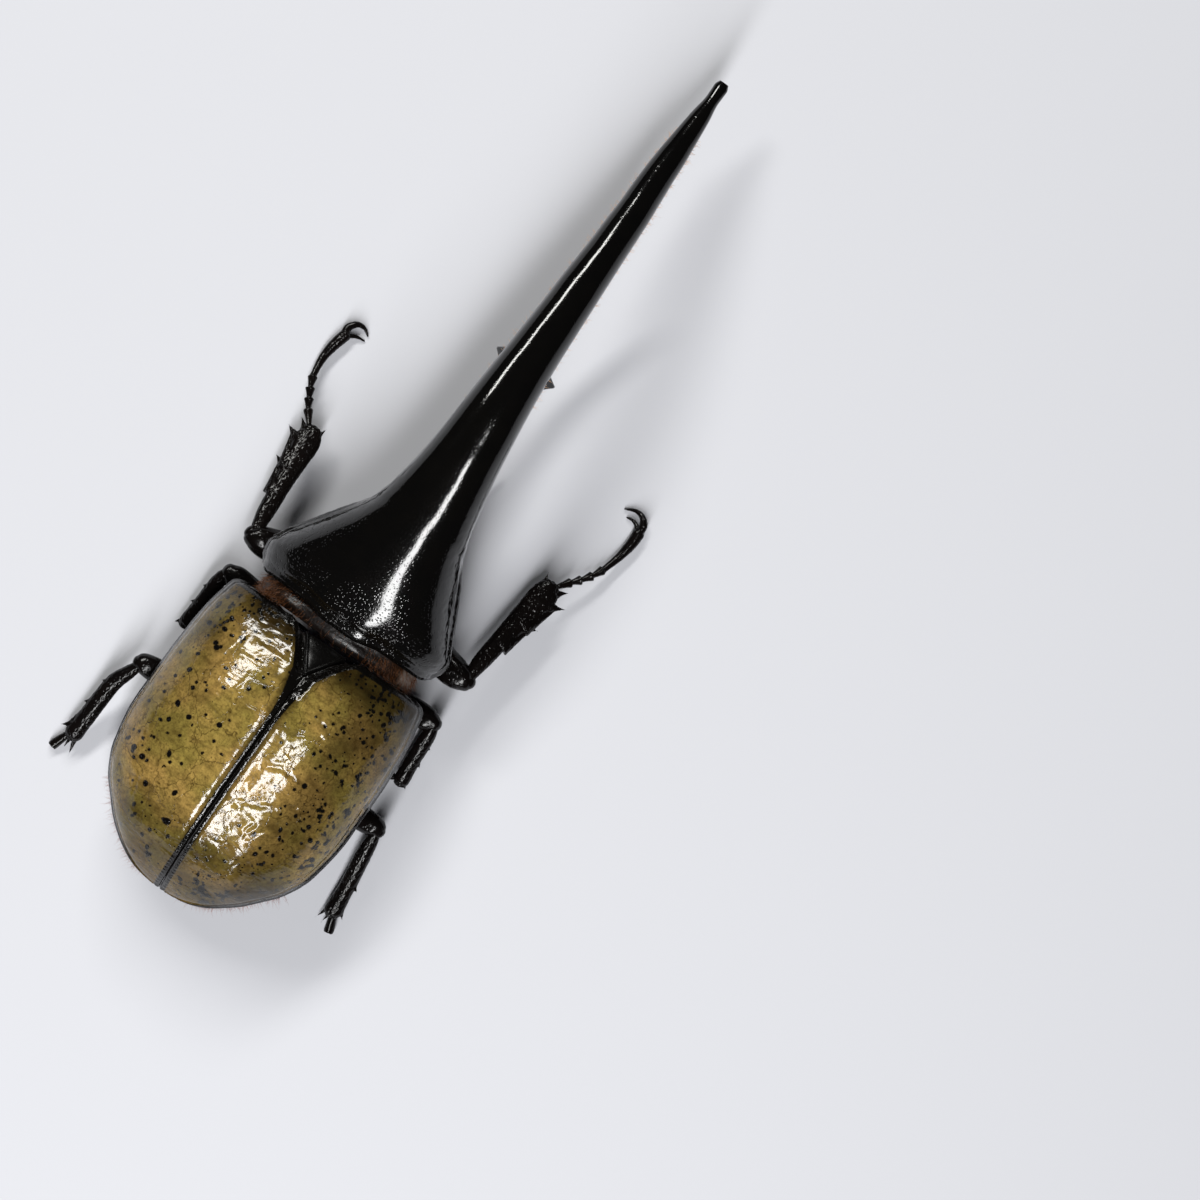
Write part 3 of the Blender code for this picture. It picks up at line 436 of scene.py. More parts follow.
def fuse(name: str, grids: Iterable[np.ndarray], voxel: float, rounds: int) -> bpy.types.Object:
    """Melt overlapping closed forms into one skin.

    Args:
        name: Name of the new object.
        grids: Rings of each form, in body millimetres.
        voxel: Size of the mesh's cells, in millimetres.
        rounds: How often the skin is smoothed.

    Returns:
        The new object.
    """
    parts = [tube_mesh("part", grid) for grid in grids]
    bm = bmesh.new()
    for part in parts:
        bm.from_mesh(part.data)
        bpy.data.objects.remove(part)
    mesh = bpy.data.meshes.new(name)
    bm.to_mesh(mesh)
    bm.free()
    obj = new_object(name, mesh)
    remesh = obj.modifiers.new("melt", "REMESH")
    remesh.mode = "VOXEL"
    remesh.voxel_size = voxel * MM
    soften = obj.modifiers.new("soften", "SMOOTH")
    soften.factor = 0.5
    soften.iterations = rounds
    graph = bpy.context.evaluated_depsgraph_get()
    obj.data = bpy.data.meshes.new_from_object(obj.evaluated_get(graph))
    obj.modifiers.clear()
    obj.data.shade_smooth()
    return obj


def add_values(obj: bpy.types.Object, name: str, values: np.ndarray) -> None:
    """Give a mesh one number per point for its finish; points past the last value get 0.

    Args:
        obj: The object.
        name: Name of the attribute.
        values: Values in the order of the points.
    """
    full = np.zeros(len(obj.data.vertices))
    full[:values.size] = values.ravel()
    obj.data.attributes.new(name, "FLOAT", "POINT").data.foreach_set("value", full)


def emboss(obj: bpy.types.Object, relief: Callable[[np.ndarray], np.ndarray]) -> None:
    """Move vertices along their normals, but never below the floor.

    Args:
        obj: The object.
        relief: Takes points in body millimetres and gives the height in millimetres.
    """
    vertices = obj.data.vertices
    places, normals = np.empty((2, len(vertices), 3))
    vertices.foreach_get("co", places.ravel())
    vertices.foreach_get("normal", normals.ravel())
    body = places / MM
    body[:, 1] = ORIGIN_STATION - body[:, 1]
    places = places + normals * (relief(body) * MM)[:, None]
    places[:, 2] = np.maximum(places[:, 2], 0.0)
    vertices.foreach_set("co", places.ravel())
    obj.data.update()


def finish_piece(obj: bpy.types.Object, material: bpy.types.Material, slot: Slot, *nodes: str) -> None:
    """Dress a piece and tie it to the frame.

    Args:
        obj: The new piece.
        material: Its material.
        slot: The record's slot for the piece's finish; not used.
        nodes: CAD nodes that it stands for.
    """
    obj.data.materials.clear()
    obj.data.materials.append(material)
    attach(obj, BODY)
    if nodes:
        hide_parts(*nodes)
    LOG.info("%s: %d faces", obj.name, len(obj.data.polygons))


def linear(code: str) -> tuple[float, float, float, float]:
    """Turn an sRGB hex colour to linear RGBA.

    Args:
        code: The colour as #rrggbb.

    Returns:
        Red, green, blue and full alpha.
    """
    values = [int(code[i:i + 2], 16) / 255 for i in (1, 3, 5)]
    values = [v / 12.92 if v <= 0.04045 else ((v + 0.055) / 1.055) ** 2.4 for v in values]
    return (*values, 1.0)


def feed(tree: Tree, node: bpy.types.Node, inputs: dict | Sequence) -> None:
    """Link or set the inputs of a node.

    Args:
        tree: The tree that it is in.
        node: The node.
        inputs: Sockets to link from and values to set, by the input's name or in order.
    """
    for key, source in inputs.items() if isinstance(inputs, dict) else enumerate(inputs):
        target = node.inputs[MIX_INPUTS.get(key, key)]
        if isinstance(source, Socket):
            tree.links.new(source, target)
        else:
            target.default_value = source


def add(tree: Tree, kind: str, inputs: dict | Sequence = (), **settings) -> bpy.types.Node:
    """Add a node with its settings and links.

    Args:
        tree: Where it goes.
        kind: Blender's name for the node type, without ShaderNode.
        inputs: Sockets to link from and values to set, by the input's name or in order.
        settings: Properties of the node.

    Returns:
        The new node.
    """
    node = tree.nodes.new("ShaderNode" + kind)
    for key, value in settings.items():
        setattr(node, key, value)
    feed(tree, node, inputs)
    return node


def new_tree(name: str) -> tuple[bpy.types.Material, Tree, bpy.types.Node, Socket]:
    """Start a material.

    Args:
        name: The material's name.

    Returns:
        The material, its tree, its shader and object coordinates in millimetres.
    """
    material = bpy.data.materials.new(name)
    material.use_nodes = True
    tree = material.node_tree
    metres = add(tree, "TexCoord").outputs["Object"]
    scaled = add(tree, "VectorMath", [metres, (1 / MM,) * 3], operation="MULTIPLY")
    return material, tree, tree.nodes["Principled BSDF"], scaled.outputs[0]


@dataclass(frozen=True)
class Cuticle:
    """Black tanned chitin, grown and hardened: a near-black body under a clear, hard, glossy skin.

    Pits are the punctures that break up its highlights, grain is its fine leathery surface.
    Where masked is set, the pits lie only where the mesh's "punct" attribute asks for them.
    """

    name: str
    colour: str = "#030303"
    bloom: str = "#070605"
    cloud: float = 4.0
    roughness: tuple[float, float] = (0.05, 0.13)
    pit_spacing: float = 0.55
    pit_depth: float = 0.045
    grain: float = 0.35
    grain_depth: float = 0.004
    masked: bool = False
    ior: float = 1.43

    def make(self) -> bpy.types.Material:
        """Build the material.

        Returns:
            The material.
        """
        material, tree, shader, here = new_tree(self.name)
        cloud = add(tree, "TexNoise", {"Vector": here, "Scale": 1 / self.cloud, "Detail": 4.0})
        tint = add(tree, "Mix", {"share": cloud.outputs[0], "under": linear(self.colour),
                                 "over": linear(self.bloom)}, data_type="RGBA")
        fine = add(tree, "TexNoise", {"Vector": here, "Scale": 1 / self.grain, "Detail": 5.0,
                                      "Roughness": 0.6})
        rough = add(tree, "MapRange", [fine.outputs[0], 0.3, 0.7, *self.roughness])
        cells = add(tree, "TexVoronoi", {"Vector": here, "Scale": 1 / self.pit_spacing})
        dimple = add(tree, "MapRange", [cells.outputs["Distance"], 0.08, 0.38],
                     interpolation_type="SMOOTHSTEP")
        height = dimple.outputs[0]
        if self.masked:
            punct = add(tree, "Attribute", attribute_name="punct").outputs["Fac"]
            height = add(tree, "Math", [height, punct], operation="MULTIPLY").outputs[0]
        pitted = add(tree, "Bump", {"Height": height, "Distance": self.pit_depth * MM, "Strength": 1.0})
        bump = add(tree, "Bump", {"Height": fine.outputs[0], "Distance": self.grain_depth * MM,
                                  "Strength": 1.0, "Normal": pitted.outputs[0]})
        feed(tree, shader, {"Base Color": tint.outputs[MIX_RESULT], "Roughness": rough.outputs[0],
                            "IOR": self.ior, "Normal": bump.outputs[0]})
        return material


@dataclass(frozen=True)
class ElytronCuticle:
    """Olive wing-case chitin, spongy below and glassy above: colour sits under a clear wrinkled gloss.

    The olive comes from air in the spongy layer, so it clouds from ochre to green and
    darkens to black where the layer ends: at the spots, the suture and the rim. The
    mesh's "ink" attribute is the distance in millimetres to that black, and "shade" is
    how much darker the olive is painted there: darker along the edges, the seam, in front
    and at the shoulders, and painted shade over the right wing case and the tail. Painted
    shade also darkens the wrinkle hollows and the fine creases. Widths and depths are in millimetres.
    """

    name: str = "elytron_cuticle_olive"
    ochre: str = "#967941"
    green: str = "#776831"
    brown: str = "#2b1e07"
    # Near-black brown that the shade attribute darkens the olive towards, painted shade included
    shade_colour: str = "#140e04"
    black: str = "#070605"
    cloud: float = 9.09
    mottle: float = 1.25
    rag: float = 0.3333
    rag_reach: float = 0.36
    grain: float = 0.45
    sway: float = 4.5
    wrinkle: float = 2.0
    vein_spacing: float = 6.0
    vein_wander: float = 2.857
    speck_spacing: float = 0.85
    bead_spacing: float = 0.42
    sway_depth: float = 0.2
    wrinkle_depth: float = 0.2
    vein_depth: float = 0.015
    grain_depth: float = 0.012
    bead_depth: float = 0.03
    roughness: tuple[float, float] = (0.06, 0.15)
    ior: float = 1.41

    def olive(self, tree: Tree, here: Socket, vein: Socket, fold: Socket) -> Socket:
        """Cloud the olive and lay over it the shade attribute's darkening, flecks, and painted shade in the
        wrinkle hollows and along the creases.

        Args:
            tree: The material's tree.
            here: Object coordinates in millimetres.
            vein: 0 on the fine creases, 1 between them.
            fold: Height of the wrinkles; painted shade darkens their hollows.

        Returns:
            The colour without its black marks.
        """
        broad = add(tree, "TexNoise", {"Vector": here, "Scale": 1 / self.cloud, "Detail": 3.0})
        patch = add(tree, "TexNoise", {"Vector": here, "Scale": 1 / self.mottle, "Detail": 8.0,
                                       "Roughness": 0.85})
        grain = add(tree, "TexNoise", {"Vector": here, "Scale": 1 / self.grain, "Detail": 5.0})
        shade = add(tree, "Attribute", attribute_name="shade")
        fleck = add(tree, "MapRange", [grain.outputs[0], 0.45, 0.75, 0.0, 0.6])
        # Painted shade: the hollows of the wrinkles are darkened towards brown
        painted_hollow_shade = add(tree, "MapRange", [fold, 0.52, 0.3, 0.0, 0.55])
        fleck_and_painted_shade = add(tree, "Math", [fleck.outputs[0], painted_hollow_shade.outputs[0]], operation="MAXIMUM")
        covers = (
            (add(tree, "MapRange", [broad.outputs[0], 0.36, 0.62]).outputs[0], self.green),
            (add(tree, "MapRange", [patch.outputs[0], 0.44, 0.74]).outputs[0], self.brown),
            # Darker where the shade attribute says, painted shade over the right wing case and the tail
            # included
            (shade.outputs["Fac"], self.shade_colour),
            # Grain flecks and painted shade in the wrinkle hollows
            (fleck_and_painted_shade.outputs[0], self.brown),
            # Painted shade along the fine creases
            (add(tree, "MapRange", [vein, 0.0, 1.0, 0.8, 0.0]).outputs[0], self.brown))
        colour = linear(self.ochre)
        for share, over in covers:
            mixed = add(tree, "Mix", {"share": share, "under": colour, "over": linear(over)},
                        data_type="RGBA")
            colour = mixed.outputs[MIX_RESULT]
        return colour

    def marks(self, tree: Tree, here: Socket) -> tuple[Socket, Socket]:
        """Find the black of the seam, the rim, the spots and the small specks.

        Args:
            tree: The material's tree.
            here: Object coordinates in millimetres.

        Returns:
            The share of black with and without the small specks.
        """
        edge = add(tree, "Attribute", attribute_name="ink").outputs["Fac"]
        shade = add(tree, "Attribute", attribute_name="shade").outputs["Fac"]
        rag = add(tree, "TexNoise", {"Vector": here, "Scale": 1 / self.rag, "Detail": 4.0})
        ragged = add(tree, "Math", [rag.outputs[0], self.rag_reach, edge], operation="MULTIPLY_ADD")
        ink = add(tree, "MapRange", [ragged.outputs[0], 0.3, 0.12])
        cells = add(tree, "TexVoronoi", {"Vector": here, "Scale": 1 / self.speck_spacing})
        lot = add(tree, "SeparateColor", [cells.outputs["Color"]])
        crowd = add(tree, "Math", [shade, 0.5, lot.outputs[0]], operation="MULTIPLY_ADD")
        size = add(tree, "MapRange", [crowd.outputs[0], 0.8, 1.5, 0.0, 0.42])
        within = add(tree, "Math", [size.outputs[0], cells.outputs["Distance"]], operation="SUBTRACT")
        speck = add(tree, "MapRange", [within.outputs[0], 0.0, 0.03])
        black = add(tree, "Math", [ink.outputs[0], speck.outputs[0]], operation="MAXIMUM")
        return black.outputs[0], ink.outputs[0]

    def creases(self, tree: Tree, here: Socket) -> Socket:
        """Draw a wandering net of hair-fine creases.

        Args:
            tree: The material's tree.
            here: Object coordinates in millimetres.

        Returns:
            0 on a crease, 1 off it.
        """
        bend = add(tree, "TexNoise", {"Vector": here, "Scale": 1 / self.vein_wander, "Detail": 4.0})
        shift = add(tree, "VectorMath", [bend.outputs["Color"], (5.0, 5.0, 5.0)], operation="MULTIPLY")
        moved = add(tree, "VectorMath", [here, shift.outputs[0]], operation="ADD")
        drawn = add(tree, "VectorMath", [moved.outputs[0], (1.0, 0.6, 1.0)], operation="MULTIPLY")
        net = add(tree, "TexVoronoi", {"Vector": drawn.outputs[0], "Scale": 1 / self.vein_spacing},
                  feature="DISTANCE_TO_EDGE")
        return add(tree, "MapRange", [net.outputs["Distance"], 0.0, 0.02]).outputs[0]

    def make(self) -> bpy.types.Material:
        """Build the material.

        Returns:
            The material.
        """
        material, tree, shader, here = new_tree(self.name)
        vein = self.creases(tree, here)
        sway = add(tree, "TexNoise", {"Vector": here, "Scale": 1 / self.sway, "Detail": 2.0})
        squeeze = add(tree, "VectorMath", [here, (0.42, 1.0, 0.42)], operation="MULTIPLY")
        fold = add(tree, "TexNoise", {"Vector": squeeze.outputs[0], "Scale": 1 / self.wrinkle,
                                      "Detail": 2.5, "Roughness": 0.5, "Distortion": 0.6})
        olive = self.olive(tree, here, vein, fold.outputs[0])
        black, ink = self.marks(tree, here)
        colour = add(tree, "Mix", {"share": black, "under": olive, "over": linear(self.black)},
                     data_type="RGBA")
        grit = add(tree, "TexNoise", {"Vector": here, "Scale": 1 / self.grain, "Detail": 3.0})
        rough = add(tree, "MapRange", [grit.outputs[0], 0.3, 0.7, *self.roughness])
        beads = add(tree, "TexVoronoi", {"Vector": here, "Scale": 1 / self.bead_spacing})
        knobs = add(tree, "MapRange", [beads.outputs["Distance"], 0.1, 0.5, 1.0, 0.0])
        rim = add(tree, "Math", [knobs.outputs[0], ink], operation="MULTIPLY")
        normal = None
        for height, depth in ((sway.outputs[0], self.sway_depth), (fold.outputs[0], self.wrinkle_depth),
                              (vein, self.vein_depth), (grit.outputs[0], self.grain_depth),
                              (rim.outputs[0], self.bead_depth)):
            inputs = {"Height": height, "Distance": depth * MM, "Strength": 1.0}
            if normal is not None:
                inputs["Normal"] = normal
            normal = add(tree, "Bump", inputs).outputs[0]
        feed(tree, shader, {"Base Color": colour.outputs[MIX_RESULT], "Roughness": rough.outputs[0],
                            "IOR": self.ior, "Normal": normal})
        return material


@dataclass(frozen=True)
class Seta:
    """Chitin bristle: a translucent amber hair that catches the light along its length."""

    name: str
    root: str
    tip: str
    strand: float = 0.6667
    roughness: float = 0.42
    ior: float = 1.54

    def make(self) -> bpy.types.Material:
        """Build the material; the mesh's "share" attribute runs from 0 at a root to 1 at a tip.

        Returns:
            The material.
        """
        material, tree, shader, here = new_tree(self.name)
        share = add(tree, "Attribute", attribute_name="share")
        strand = add(tree, "TexNoise", {"Vector": here, "Scale": 1 / self.strand, "Detail": 2.0})
        vary = add(tree, "Math", [strand.outputs[0], 0.6, share.outputs["Fac"]], operation="MULTIPLY_ADD")
        amount = add(tree, "MapRange", [vary.outputs[0], 0.2, 1.3])
        colour = add(tree, "Mix", {"share": amount.outputs[0], "under": linear(self.root),
                                   "over": linear(self.tip)}, data_type="RGBA")
        feed(tree, shader, {"Base Color": colour.outputs[MIX_RESULT], "Roughness": self.roughness,
                            "IOR": self.ior})
        return material


@dataclass(frozen=True)
class Membrane:
    """Unhardened cuticle between the plates: dull, brown and finely creased.

    It is dark in the middle and lighter out to both sides. A whitish painted highlight lies at its
    right end. Widths, depths and places are in millimetres.
    """

    name: str = "joint_membrane_brown"
    dark: str = "#0a0503"
    light: str = "#2b180a"
    # Colour of the painted highlight at the right end
    painted_highlight: str = "#6f645b"
    cloud: float = 2.0
    lighter_from: tuple[float, float] = (15.0, 24.0)
    # x in mm where the painted highlight begins and where it is full
    painted_highlight_from: tuple[float, float] = (-16.2, -18.2)
    crease: float = 0.625
    crease_depth: float = 0.07
    roughness: float = 0.3
    ior: float = 1.38

    def make(self) -> bpy.types.Material:
        """Build the material.

        Returns:
            The material.
        """
        material, tree, shader, here = new_tree(self.name)
        split = add(tree, "SeparateXYZ", [here])
        aside = add(tree, "Math", [split.outputs[0]], operation="ABSOLUTE")
        cloud = add(tree, "TexNoise", {"Vector": here, "Scale": 1 / self.cloud, "Detail": 5.0})
        mixed = add(tree, "Math", [cloud.outputs[0], 12.0, aside.outputs[0]], operation="MULTIPLY_ADD")
        amount = add(tree, "MapRange", [mixed.outputs[0], *self.lighter_from])
        skin = add(tree, "Mix", {"share": amount.outputs[0], "under": linear(self.dark),
                                 "over": linear(self.light)}, data_type="RGBA")
        # Painted highlight: a whitish patch at the right end, with a ragged edge
        highlight_reach = add(tree, "Math", [cloud.outputs[0], -5.0, split.outputs[0]], operation="MULTIPLY_ADD")
        painted_highlight_share = add(tree, "MapRange", [highlight_reach.outputs[0], *self.painted_highlight_from])
        colour = add(tree, "Mix", {"share": painted_highlight_share.outputs[0], "under": skin.outputs[MIX_RESULT],
                                   "over": linear(self.painted_highlight)}, data_type="RGBA")
        crease = add(tree, "TexNoise", {"Vector": here, "Scale": 1 / self.crease, "Detail": 6.0})
        bump = add(tree, "Bump", {"Height": crease.outputs[0], "Distance": self.crease_depth * MM,
                                  "Strength": 1.0})
        feed(tree, shader, {"Base Color": colour.outputs[MIX_RESULT], "Roughness": self.roughness,
                            "IOR": self.ior, "Normal": bump.outputs[0]})
        return material


@dataclass(frozen=True)
class Cornea:
    """Eye chitin: a dark polished dome of tiny lenses, drawn several times their real width."""

    name: str = "compound_eye_cornea"
    colour: str = "#0a0605"
    centre: str = "#2a160c"
    lens: float = 0.16
    lens_depth: float = 0.02
    roughness: float = 0.12
    ior: float = 1.56

    def make(self) -> bpy.types.Material:
        """Build the material.

        Returns:
            The material.
        """
        material, tree, shader, here = new_tree(self.name)
        cells = add(tree, "TexVoronoi", {"Vector": here, "Scale": 1 / self.lens, "Randomness": 0.25})
        away = cells.outputs["Distance"]
        colour = add(tree, "Mix", {"share": away, "under": linear(self.centre),
                                   "over": linear(self.colour)}, data_type="RGBA")
        bump = add(tree, "Bump", {"Height": away, "Distance": self.lens_depth * MM, "Strength": 1.0},
                   invert=True)
        feed(tree, shader, {"Base Color": colour.outputs[MIX_RESULT], "Roughness": self.roughness,
                            "IOR": self.ior, "Normal": bump.outputs[0]})
        return material


@dataclass
class Finishes:
    """Every material of the beetle, made once."""

    glossy: bpy.types.Material = field(default_factory=Cuticle("pronotum_cuticle_jet", masked=True).make)
    leg: bpy.types.Material = field(default_factory=Cuticle(
        "leg_cuticle_pitted", bloom="#0d0908", roughness=(0.1, 0.24), pit_spacing=0.7, pit_depth=0.035,
        ior=1.27).make)
    belly: bpy.types.Material = field(default_factory=Cuticle(
        "belly_cuticle_satin", bloom="#160e0b", roughness=(0.22, 0.5), pit_spacing=0.6,
        grain_depth=0.02).make)
    smooth: bpy.types.Material = field(default_factory=Cuticle(
        "scutellum_cuticle_polished", roughness=(0.16, 0.3), pit_spacing=2.5, pit_depth=0.02,
        ior=1.32).make)
    olive: bpy.types.Material = field(default_factory=ElytronCuticle().make)
    membrane: bpy.types.Material = field(default_factory=Membrane().make)
    cornea: bpy.types.Material = field(default_factory=Cornea().make)
    amber: bpy.types.Material = field(default_factory=Seta("seta_amber", "#2e1507", "#7a4a22").make)
    peach: bpy.types.Material = field(default_factory=Seta("seta_peach", "#b5743c", "#e8b98a").make)
    russet: bpy.types.Material = field(default_factory=Seta("seta_russet", "#38150c", "#8c4a30").make)


@dataclass(frozen=True)
class Brush:
    """One patch of bristles: the seed of its draw, how many, and their size in millimetres."""

    seed: int
    count: int
    length: tuple[float, float]
    width: float
    wander: float


class Hair:
    """Builds a patch of bristles as solid three-sided blades.

    CORNERS are the angles of a blade's three edges. No point lies below LOWEST, in millimetres.
    """

    SEGMENTS = 3
    CORNERS = (0.0, 2.094, 4.189)
    LOWEST = 0.02

    def __init__(self, brush: Brush) -> None:
        """Seed the draw.

        Args:
            brush: Number, size and seed of the bristles.
        """
        self.brush = brush
        self.random = np.random.default_rng(brush.seed)

    def blades(self, name: str, roots: np.ndarray, ways: np.ndarray, uv: np.ndarray) -> bpy.types.Object:
        """Make one mesh of bristles.

        Args:
            name: Name of the object.
            roots: Root of each bristle, in body millimetres.
            ways: Direction of each bristle.
            uv: Place of each root on an unwrap of the skin, from 0 to 1.

        Returns:
            The new object, with the map OFBake.
        """
        count, wander = len(roots), self.brush.wander
        ways = ways + self.random.normal(0, wander, ways.shape)
        ways /= np.linalg.norm(ways, axis=1, keepdims=True)
        long = self.random.uniform(*self.brush.length, count)
        curl = self.random.normal(0, wander, (count, 3))
        side = np.cross(ways, self.random.normal(0, 1, (count, 3)))
        side /= np.linalg.norm(side, axis=1, keepdims=True)
        lift = np.cross(ways, side)
        verts, shares = [], []
        for level in np.linspace(0, 1, self.SEGMENTS + 1)[:-1]:
            middle = roots + ways * (long * level)[:, None] + curl * (long * level * level)[:, None]
            size = 0.5 * self.brush.width * (1 - level) ** 0.7
            for turn in self.CORNERS:
                verts.append(middle + size * (side * math.cos(turn) + lift * math.sin(turn)))
                shares.append(np.full(count, level))
        verts.append(roots + ways * long[:, None] + curl * long[:, None])
        shares.append(np.ones(count))
        points = np.stack(verts, axis=1).reshape(-1, 3)
        points[:, 2] = np.maximum(points[:, 2], self.LOWEST)
        per = len(verts)
        faces = (self.blade_faces()[None] + (np.arange(count) * per)[:, None, None]).reshape(-1, 3)
        mesh = bpy.data.meshes.new(name)
        mesh.from_pydata(place(points).tolist(), [], faces.tolist())
        obj = new_object(name, mesh)
        add_values(obj, "share", np.stack(shares, axis=1))
        corners = np.array([loop.vertex_index for loop in mesh.loops])
        owner, local = corners // per, corners % per
        patch = np.stack((local % 3, local / per), axis=1) * 0.001
        layer = mesh.uv_layers.new(name="OFBake")
        layer.data.foreach_set("uv", (np.clip(uv[owner], 0.003, 0.994) + patch).ravel())
        return obj

    def blade_faces(self) -> np.ndarray:
        """Triangles of one blade.

        Returns:
            Faces by 3, as numbers of the blade's own points.
        """
        faces = []
        for ring in range(self.SEGMENTS - 1):
            for corner in range(3):
                a, b = 3 * ring + corner, 3 * ring + (corner + 1) % 3
                faces += [(a, b, b + 3), (a, b + 3, a + 3)]
        last, tip = 3 * (self.SEGMENTS - 1), 3 * self.SEGMENTS
        return np.array(faces + [(last, last + 1, tip), (last + 1, last + 2, tip), (last + 2, last, tip),
                                 (0, 2, 1)])


@dataclass
class Prothorax:
    """The pronotum and the long horn that grows from it, as one skin.

    A section is a station, half width, top, bottom and height of the widest line.
    """

    finishes: Finishes
    sections: Rows = (
        (1.6, 18.7, 26.8, 3.6, 15.5), (2.7, 19.4, 27.9, 3.0, 15.5), (4.0, 20.1, 29.0, 2.5, 15.5),
        (7.0, 20.6, 31.2, 1.8, 15.5), (10.0, 19.5, 33.2, 1.5, 15.6), (14.0, 17.3, 35.3, 2.0, 16.2),
        (18.0, 15.0, 37.0, 3.5, 18.0), (22.0, 12.6, 38.3, 6.0, 21.5), (24.0, 11.4, 39.0, 9.5, 24.0),
        (26.0, 10.3, 39.6, 15.5, 26.8), (27.5, 9.8, 40.0, 20.0, 29.0), (29.5, 9.1, 40.5, 22.5, 30.8),
        (33.0, 8.3, 41.2, 24.2, 32.4), (43.0, 6.75, 42.2, 27.0, 34.6), (50.0, 6.1, 42.3, 28.5, 35.4),
        (60.0, 5.3, 41.6, 29.2, 35.0), (70.0, 4.6, 39.7, 28.8, 33.8), (80.0, 4.15, 36.9, 27.2, 31.6),
        (90.0, 3.65, 33.2, 24.6, 28.5), (100.0, 3.3, 28.9, 21.5, 24.9), (110.0, 2.75, 24.2, 18.3, 21.0),
        (115.0, 2.35, 21.8, 16.9, 19.2), (120.0, 1.9, 19.6, 15.6, 17.5), (124.0, 1.4, 17.9, 14.8, 16.2),
        (126.6, 1.45, 17.0, 14.5, 15.7), (127.8, 1.0, 16.5, 14.9, 15.7))
    power: tuple[float, float] = (2.1, 2.5)
    lip_scale: float = 0.93
    lip_station: float = 3.7
    tooth_station: float = 61.6
    tooth_height: float = 2.8
    tooth_width: float = 2.3
    tooth_level: float = 31.2
    bead: float = 0.32
    columns: int = 224
    brush: Brush = Brush(11, 5200, (0.7, 1.5), 0.09, 0.22)
    brush_span: tuple[float, float] = (48.0, 68.0)

    def hind_edge(self, x: np.ndarray) -> np.ndarray:
        """Say how far forward the hind edge lies, from its middle out to each round corner."""
        across = np.abs(x)
        return step(3, 9, across) + 0.9 * np.clip((across - 17.0) / 2.5, 0, 1) ** 2

    def grid(self) -> tuple[np.ndarray, np.ndarray]:
        """Draw the rings of the smooth form.

        Returns:
            Rings by points by 3 in body millimetres, and the station of each ring.
        """
        first, last = self.sections[0][0], self.sections[-1][0]
        stations = np.concatenate([np.linspace(*span) for span in (
            (first, 10, 60), (10.2, 34, 90), (34.4, 126.4, 260), (126.5, last, 10))])
        turn = np.linspace(0, 2 * math.pi, self.columns, endpoint=False)[None]
        power = self.power[0] + (self.power[1] - self.power[0]) * step(-0.3, 0.3, np.sin(turn))
        rings = oval_rings(self.sections, stations, self.columns, 2 / power)
        near = np.clip(1 - (stations - first) / 8, 0, 1)[:, None]
        rings[..., 1] += self.hind_edge(rings[..., 0]) * near
        return rings, stations

    def relief(self, grid: np.ndarray, stations: np.ndarray) -> np.ndarray:
        """Shape the beads, sockets and grain over the smooth form.

        Args:
            grid: The smooth form's rings.
            stations: The station of each ring.

        Returns:
            Height of each point in millimetres.
        """
        first = self.sections[0][0]
        turn = np.linspace(0, 2 * math.pi, self.columns, endpoint=False)[None]
        station = stations[:, None]
        behind = station - first
        upper = step(-0.5, 0.1, np.sin(turn))
        height = 0.4 * self.bead * np.exp(-((behind - 0.7) / 0.5) ** 2) * upper
        height = height - 0.1 * np.exp(-((behind - 1.9) / 0.6) ** 2) * upper
        level = np.arcsin(np.clip(np.sin(turn), -1, 1))
        margin = step(27, 20, station) * step(first, first + 1.5, station)
        height = height + margin * self.bead * 1.2 * np.exp(-((level - 0.02) / 0.05) ** 2)
        height = height - margin * 0.35 * np.exp(-((level - 0.14) / 0.06) ** 2)
        rough_sides = step(0.9, 0.4, level) * step(-0.3, 0.0, level) * step(46, 26, station)
        fine, broad = 0.07 * rumple(grid, 0.9, 3, 2), 0.12 * rumple(grid, 9.0, 5, 2)
        return height + (fine * (0.1 + rough_sides) + broad)

    def puncture(self, skin: np.ndarray) -> np.ndarray:
        """Pit the skin, most at the hind corners and hardly on the crown and horn.

        Args:
            skin: Points of the skin.

        Returns:
            How deeply each point is pitted, from 0 to 1.
        """
        across, station = np.abs(skin[..., 0]), skin[..., 1]
        more_on_left = 0.55 + 0.45 * step(-1.0, 3.0, skin[..., 0])
        flank = step(2.5, 9.0, across) * step(32.0, 16.0, station) * more_on_left
        rear = step(16.0, 3.0, station)
        patchy = 0.7 + 0.5 * rumple(skin, 7.0, 8, 2)
        return np.clip(np.maximum(flank, 0.75 * rear) * patchy + 0.15, 0, 1)

    def teeth(self, grid: np.ndarray) -> np.ndarray:
        """Draw out the pair of side teeth of the horn.

        Args:
            grid: Points of the skin.

        Returns:
            How far each point moves.
        """
        x, station, z = grid[..., 0], grid[..., 1], grid[..., 2]
        away = np.hypot(station - self.tooth_station, (z - self.tooth_level) * 1.1)
        pull = np.clip(1 - away / self.tooth_width, 0, 1) ** 1.3 * (np.abs(x) > 2.5)
        return np.stack((np.sign(x) * pull * self.tooth_height, pull * 0.3, -pull * 0.7), axis=-1)

